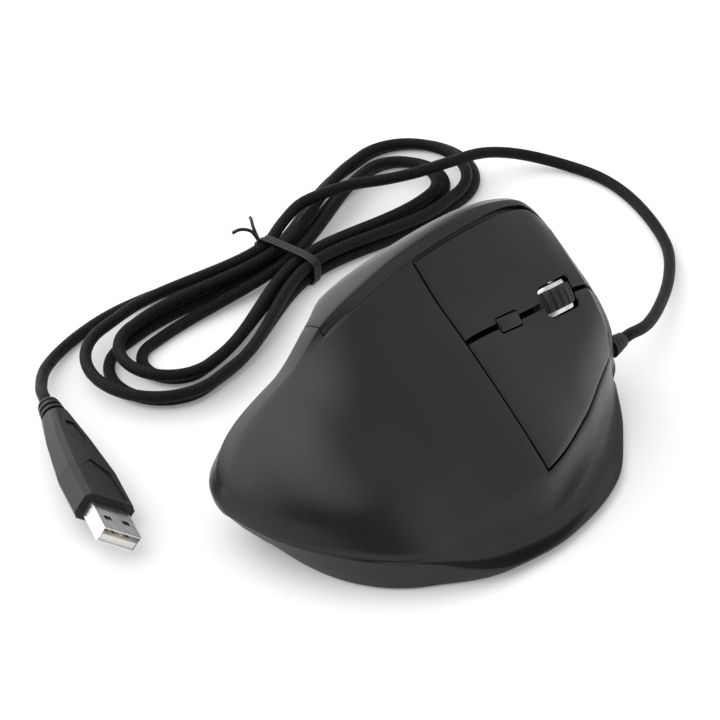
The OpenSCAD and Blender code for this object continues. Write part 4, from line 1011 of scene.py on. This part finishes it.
# %% Boot
r = CORD_D / 2
boot_profile = [(-7.4, 0.2), (-7.4, r + 0.9), (-6, r + 0.9), (-6, r + 0.4), (-0.2, r + 0.4), (-0.2, r + 1.3),
                (0.1, r + 1.4), (0.9, r + 1.3), (1.1, r + 0.95), (1.5, r + 0.95), (1.7, r + 1.15), (2.5, r + 1.0),
                (2.7, r + 0.7), (3.1, r + 0.7), (3.3, r + 0.85), (4.2, r + 0.65), (5.3, r + 0.5), (5.5, r + 0.35),
                (5.5, 0.2)]
boot = turned("cord_boot", boot_profile, 48, relief_rubber, boot_place)
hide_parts("strain_relief")
print("boot faces:", len(boot.data.polygons))

# %% [markdown]
# The hank is held by a wire tie in a plastic sleeve: three turns round the waist, and its two ends stand up.
# A wire is a swept tube, so the helper for the cord serves here too.

# %% Tie
TIE_D, TIE_SIDES, TIE_TURNS, TIE_SPREAD, TIE_SLACK = 1.0, 10, 3, 3.0, 0.4
half = CORD_D / 2 + 0.3
left = -HANK_WAIST - HANK_STEP * HANK_LOOPS / 2 - half
right = HANK_WAIST + HANK_STEP * (HANK_LOOPS - 1) / 2 + half
low, high = hank_first[2] - half, hank_last[2] + half
tie_line = []
for t in np.linspace(0, TIE_TURNS * 2 * math.pi, 60 * TIE_TURNS):
    a = t + math.pi * 0.75
    cx, sz = math.cos(a), math.sin(a)
    x = math.copysign(abs(cx) ** 0.45, cx) * ((right - left) / 2 + TIE_SLACK) + (left + right) / 2
    z = math.copysign(abs(sz) ** 0.5, sz) * ((high - low) / 2 + TIE_SLACK) + (low + high) / 2
    tie_line.append(hank_place(x, -TIE_SPREAD / 2 + TIE_SPREAD * t / (2 * TIE_TURNS * math.pi), max(z, TIE_D / 2)))
tie_wire, tie_length = evenly(tie_line, 0.7)
tie = swept("wire_tie", tie_wire, TIE_D, TIE_SIDES, tie_plastic)
start, hank_middle = tie_line[0], hank_place(0, 0, 0)
for letter, (dx, ds, dz) in zip("ab", ((-6, -5, 4), (-6.5, 4, 4.5))):
    bend = [start, start + hank_place(dx * 0.4, ds * 0.15, dz * 0.75) - hank_middle,
            start + hank_place(dx * 0.75, ds * 0.6, dz * 1.0) - hank_middle,
            start + hank_place(dx, ds, dz * 0.8) - hank_middle]
    attach(swept(f"tie_end_{letter}", through(bend, 10), TIE_D, TIE_SIDES, tie_plastic, None), tie)
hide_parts("twist_tie")
print("tie is", round(tie_length), "mm long round the waist")

# %% [markdown]
# The remaining pieces keep their CAD shapes: the plug, the wheel's hub, the boards and the switches inside.
# Real mouldings have no knife edges, so the plug and the glide feet get a narrow bevel where two faces meet at an
# angle.

# %% Finishes for the CAD pieces
finish_for = {
    plug_satin: "plug_grip", plug_steel: "plug_shell", contact_gold: "plug_contacts", glide_slick: "glide_feet",
    pin_steel: "wheel_axle board_screws", lens_clear: "sensor_lens", relief_rubber: "inner_cable",
    white_plastic: "plug_tongue left_plunger right_plunger cable_socket",
    red_plastic: "wheel_stem dpi_stem forward_stem back_stem light_source",
    board_mask: "button_board thumb_board base_board", ribbon_plastic: "board_ribbon thumb_ribbon",
    inner_plastic: "wheel_hub wheel_bracket wheel_sensor board_stand left_switch right_switch wheel_switch "
                   "dpi_switch forward_switch back_switch motion_sensor controller_chip"}
dressed = [(name, material) for material, names in finish_for.items() for name in names.split()]
for name, material in dressed:
    nodes[name].data.materials.clear()
    nodes[name].data.materials.append(material)
for name, width in (("plug_grip", 0.35), ("plug_shell", 0.12), ("plug_tongue", 0.15), ("glide_feet", 0.15)):
    weld = nodes[name].modifiers.new("weld", "WELD")
    weld.merge_threshold = 1e-6
    bevel = nodes[name].modifiers.new("edges", "BEVEL")
    bevel.width, bevel.segments = width * MM, 2
    bevel.limit_method, bevel.angle_limit = "ANGLE", math.radians(25)
print("CAD pieces with a finish:", len(dressed))

# %% [markdown]
# The cord is soft on the real part.

print("cord is one braided tube")

# %% [markdown]
# The picture has a white ground with a faint shadow. A pale floor with a trace of its own light gives that, and
# the object's shadow stays on it.

# %% Floor
FLOOR_HALF, FLOOR_GREY, FLOOR_GLOW = 4, (0.62, 0.62, 0.62, 1), 0.18
floor_corners = [(x * FLOOR_HALF, y * FLOOR_HALF, 0) for x, y in ((-1, -1), (1, -1), (1, 1), (-1, 1))]
floor_mesh = bpy.data.meshes.new("floor")
floor_mesh.from_pydata(floor_corners, [], [(0, 1, 2, 3)])
floor = bpy.data.objects.new("floor", floor_mesh)
bpy.context.scene.collection.objects.link(floor)
pale, tree, shader = new_material("pale_floor")
shader.inputs["Base Color"].default_value = FLOOR_GREY
shader.inputs["Emission Color"].default_value = (1, 1, 1, 1)
shader.inputs["Emission Strength"].default_value = FLOOR_GLOW
shader.inputs["Roughness"].default_value = 0.9
shader.inputs["Specular IOR Level"].default_value = 0.0
floor_mesh.materials.append(pale)
print("floor is", 2 * FLOOR_HALF, "m square")

# %% [markdown]
# Black plastic shows little but what it reflects, so the sky is the light. It has five soft patches, like large
# softboxes: the brightest is low on the left for the palm, a small one stands high in front, a third is behind on
# the right for the finger face, a fourth is low on the right for the skirt, and a faint one is overhead. Between
# them the sky is dim, so the black stays deep.

# %% Sky
sky = bpy.data.worlds.new("studio")
bpy.context.scene.world = sky
sky.use_nodes = True
tree = sky.node_tree
place = tree.nodes.new("ShaderNodeTexCoord")


def glow(azimuth, elevation, peak, edge):
    """Soft patch of sky, brightest one way and gone at the edge (a cosine)."""
    aim = tree.nodes.new("ShaderNodeVectorMath")
    aim.operation = "DOT_PRODUCT"
    aim.inputs[1].default_value = toward(azimuth, elevation)
    link(tree, place, "Generated", aim, 0)
    return spread(tree, aim, "Value", 0, peak, edge, 1.0).outputs["Result"]


DIM_SKY = 0.25
PATCHES = ((-65, 32, 2.9, 0.35), (25, 57, 1.65, 0.84), (150, 28, 0.8, 0.4), (98, 8, 0.65, 0.8), (0, 90, 0.3, 0.5))
level = DIM_SKY
for patch in PATCHES:
    level = calc(tree, "ADD", glow(*patch), level)
tree.links.new(level, tree.nodes["Background"].inputs["Strength"])
tree.nodes["Background"].inputs["Color"].default_value = (1, 1, 1, 1)
bpy.context.scene.view_settings.view_transform = "Standard"
print("sky patches:", len(PATCHES))
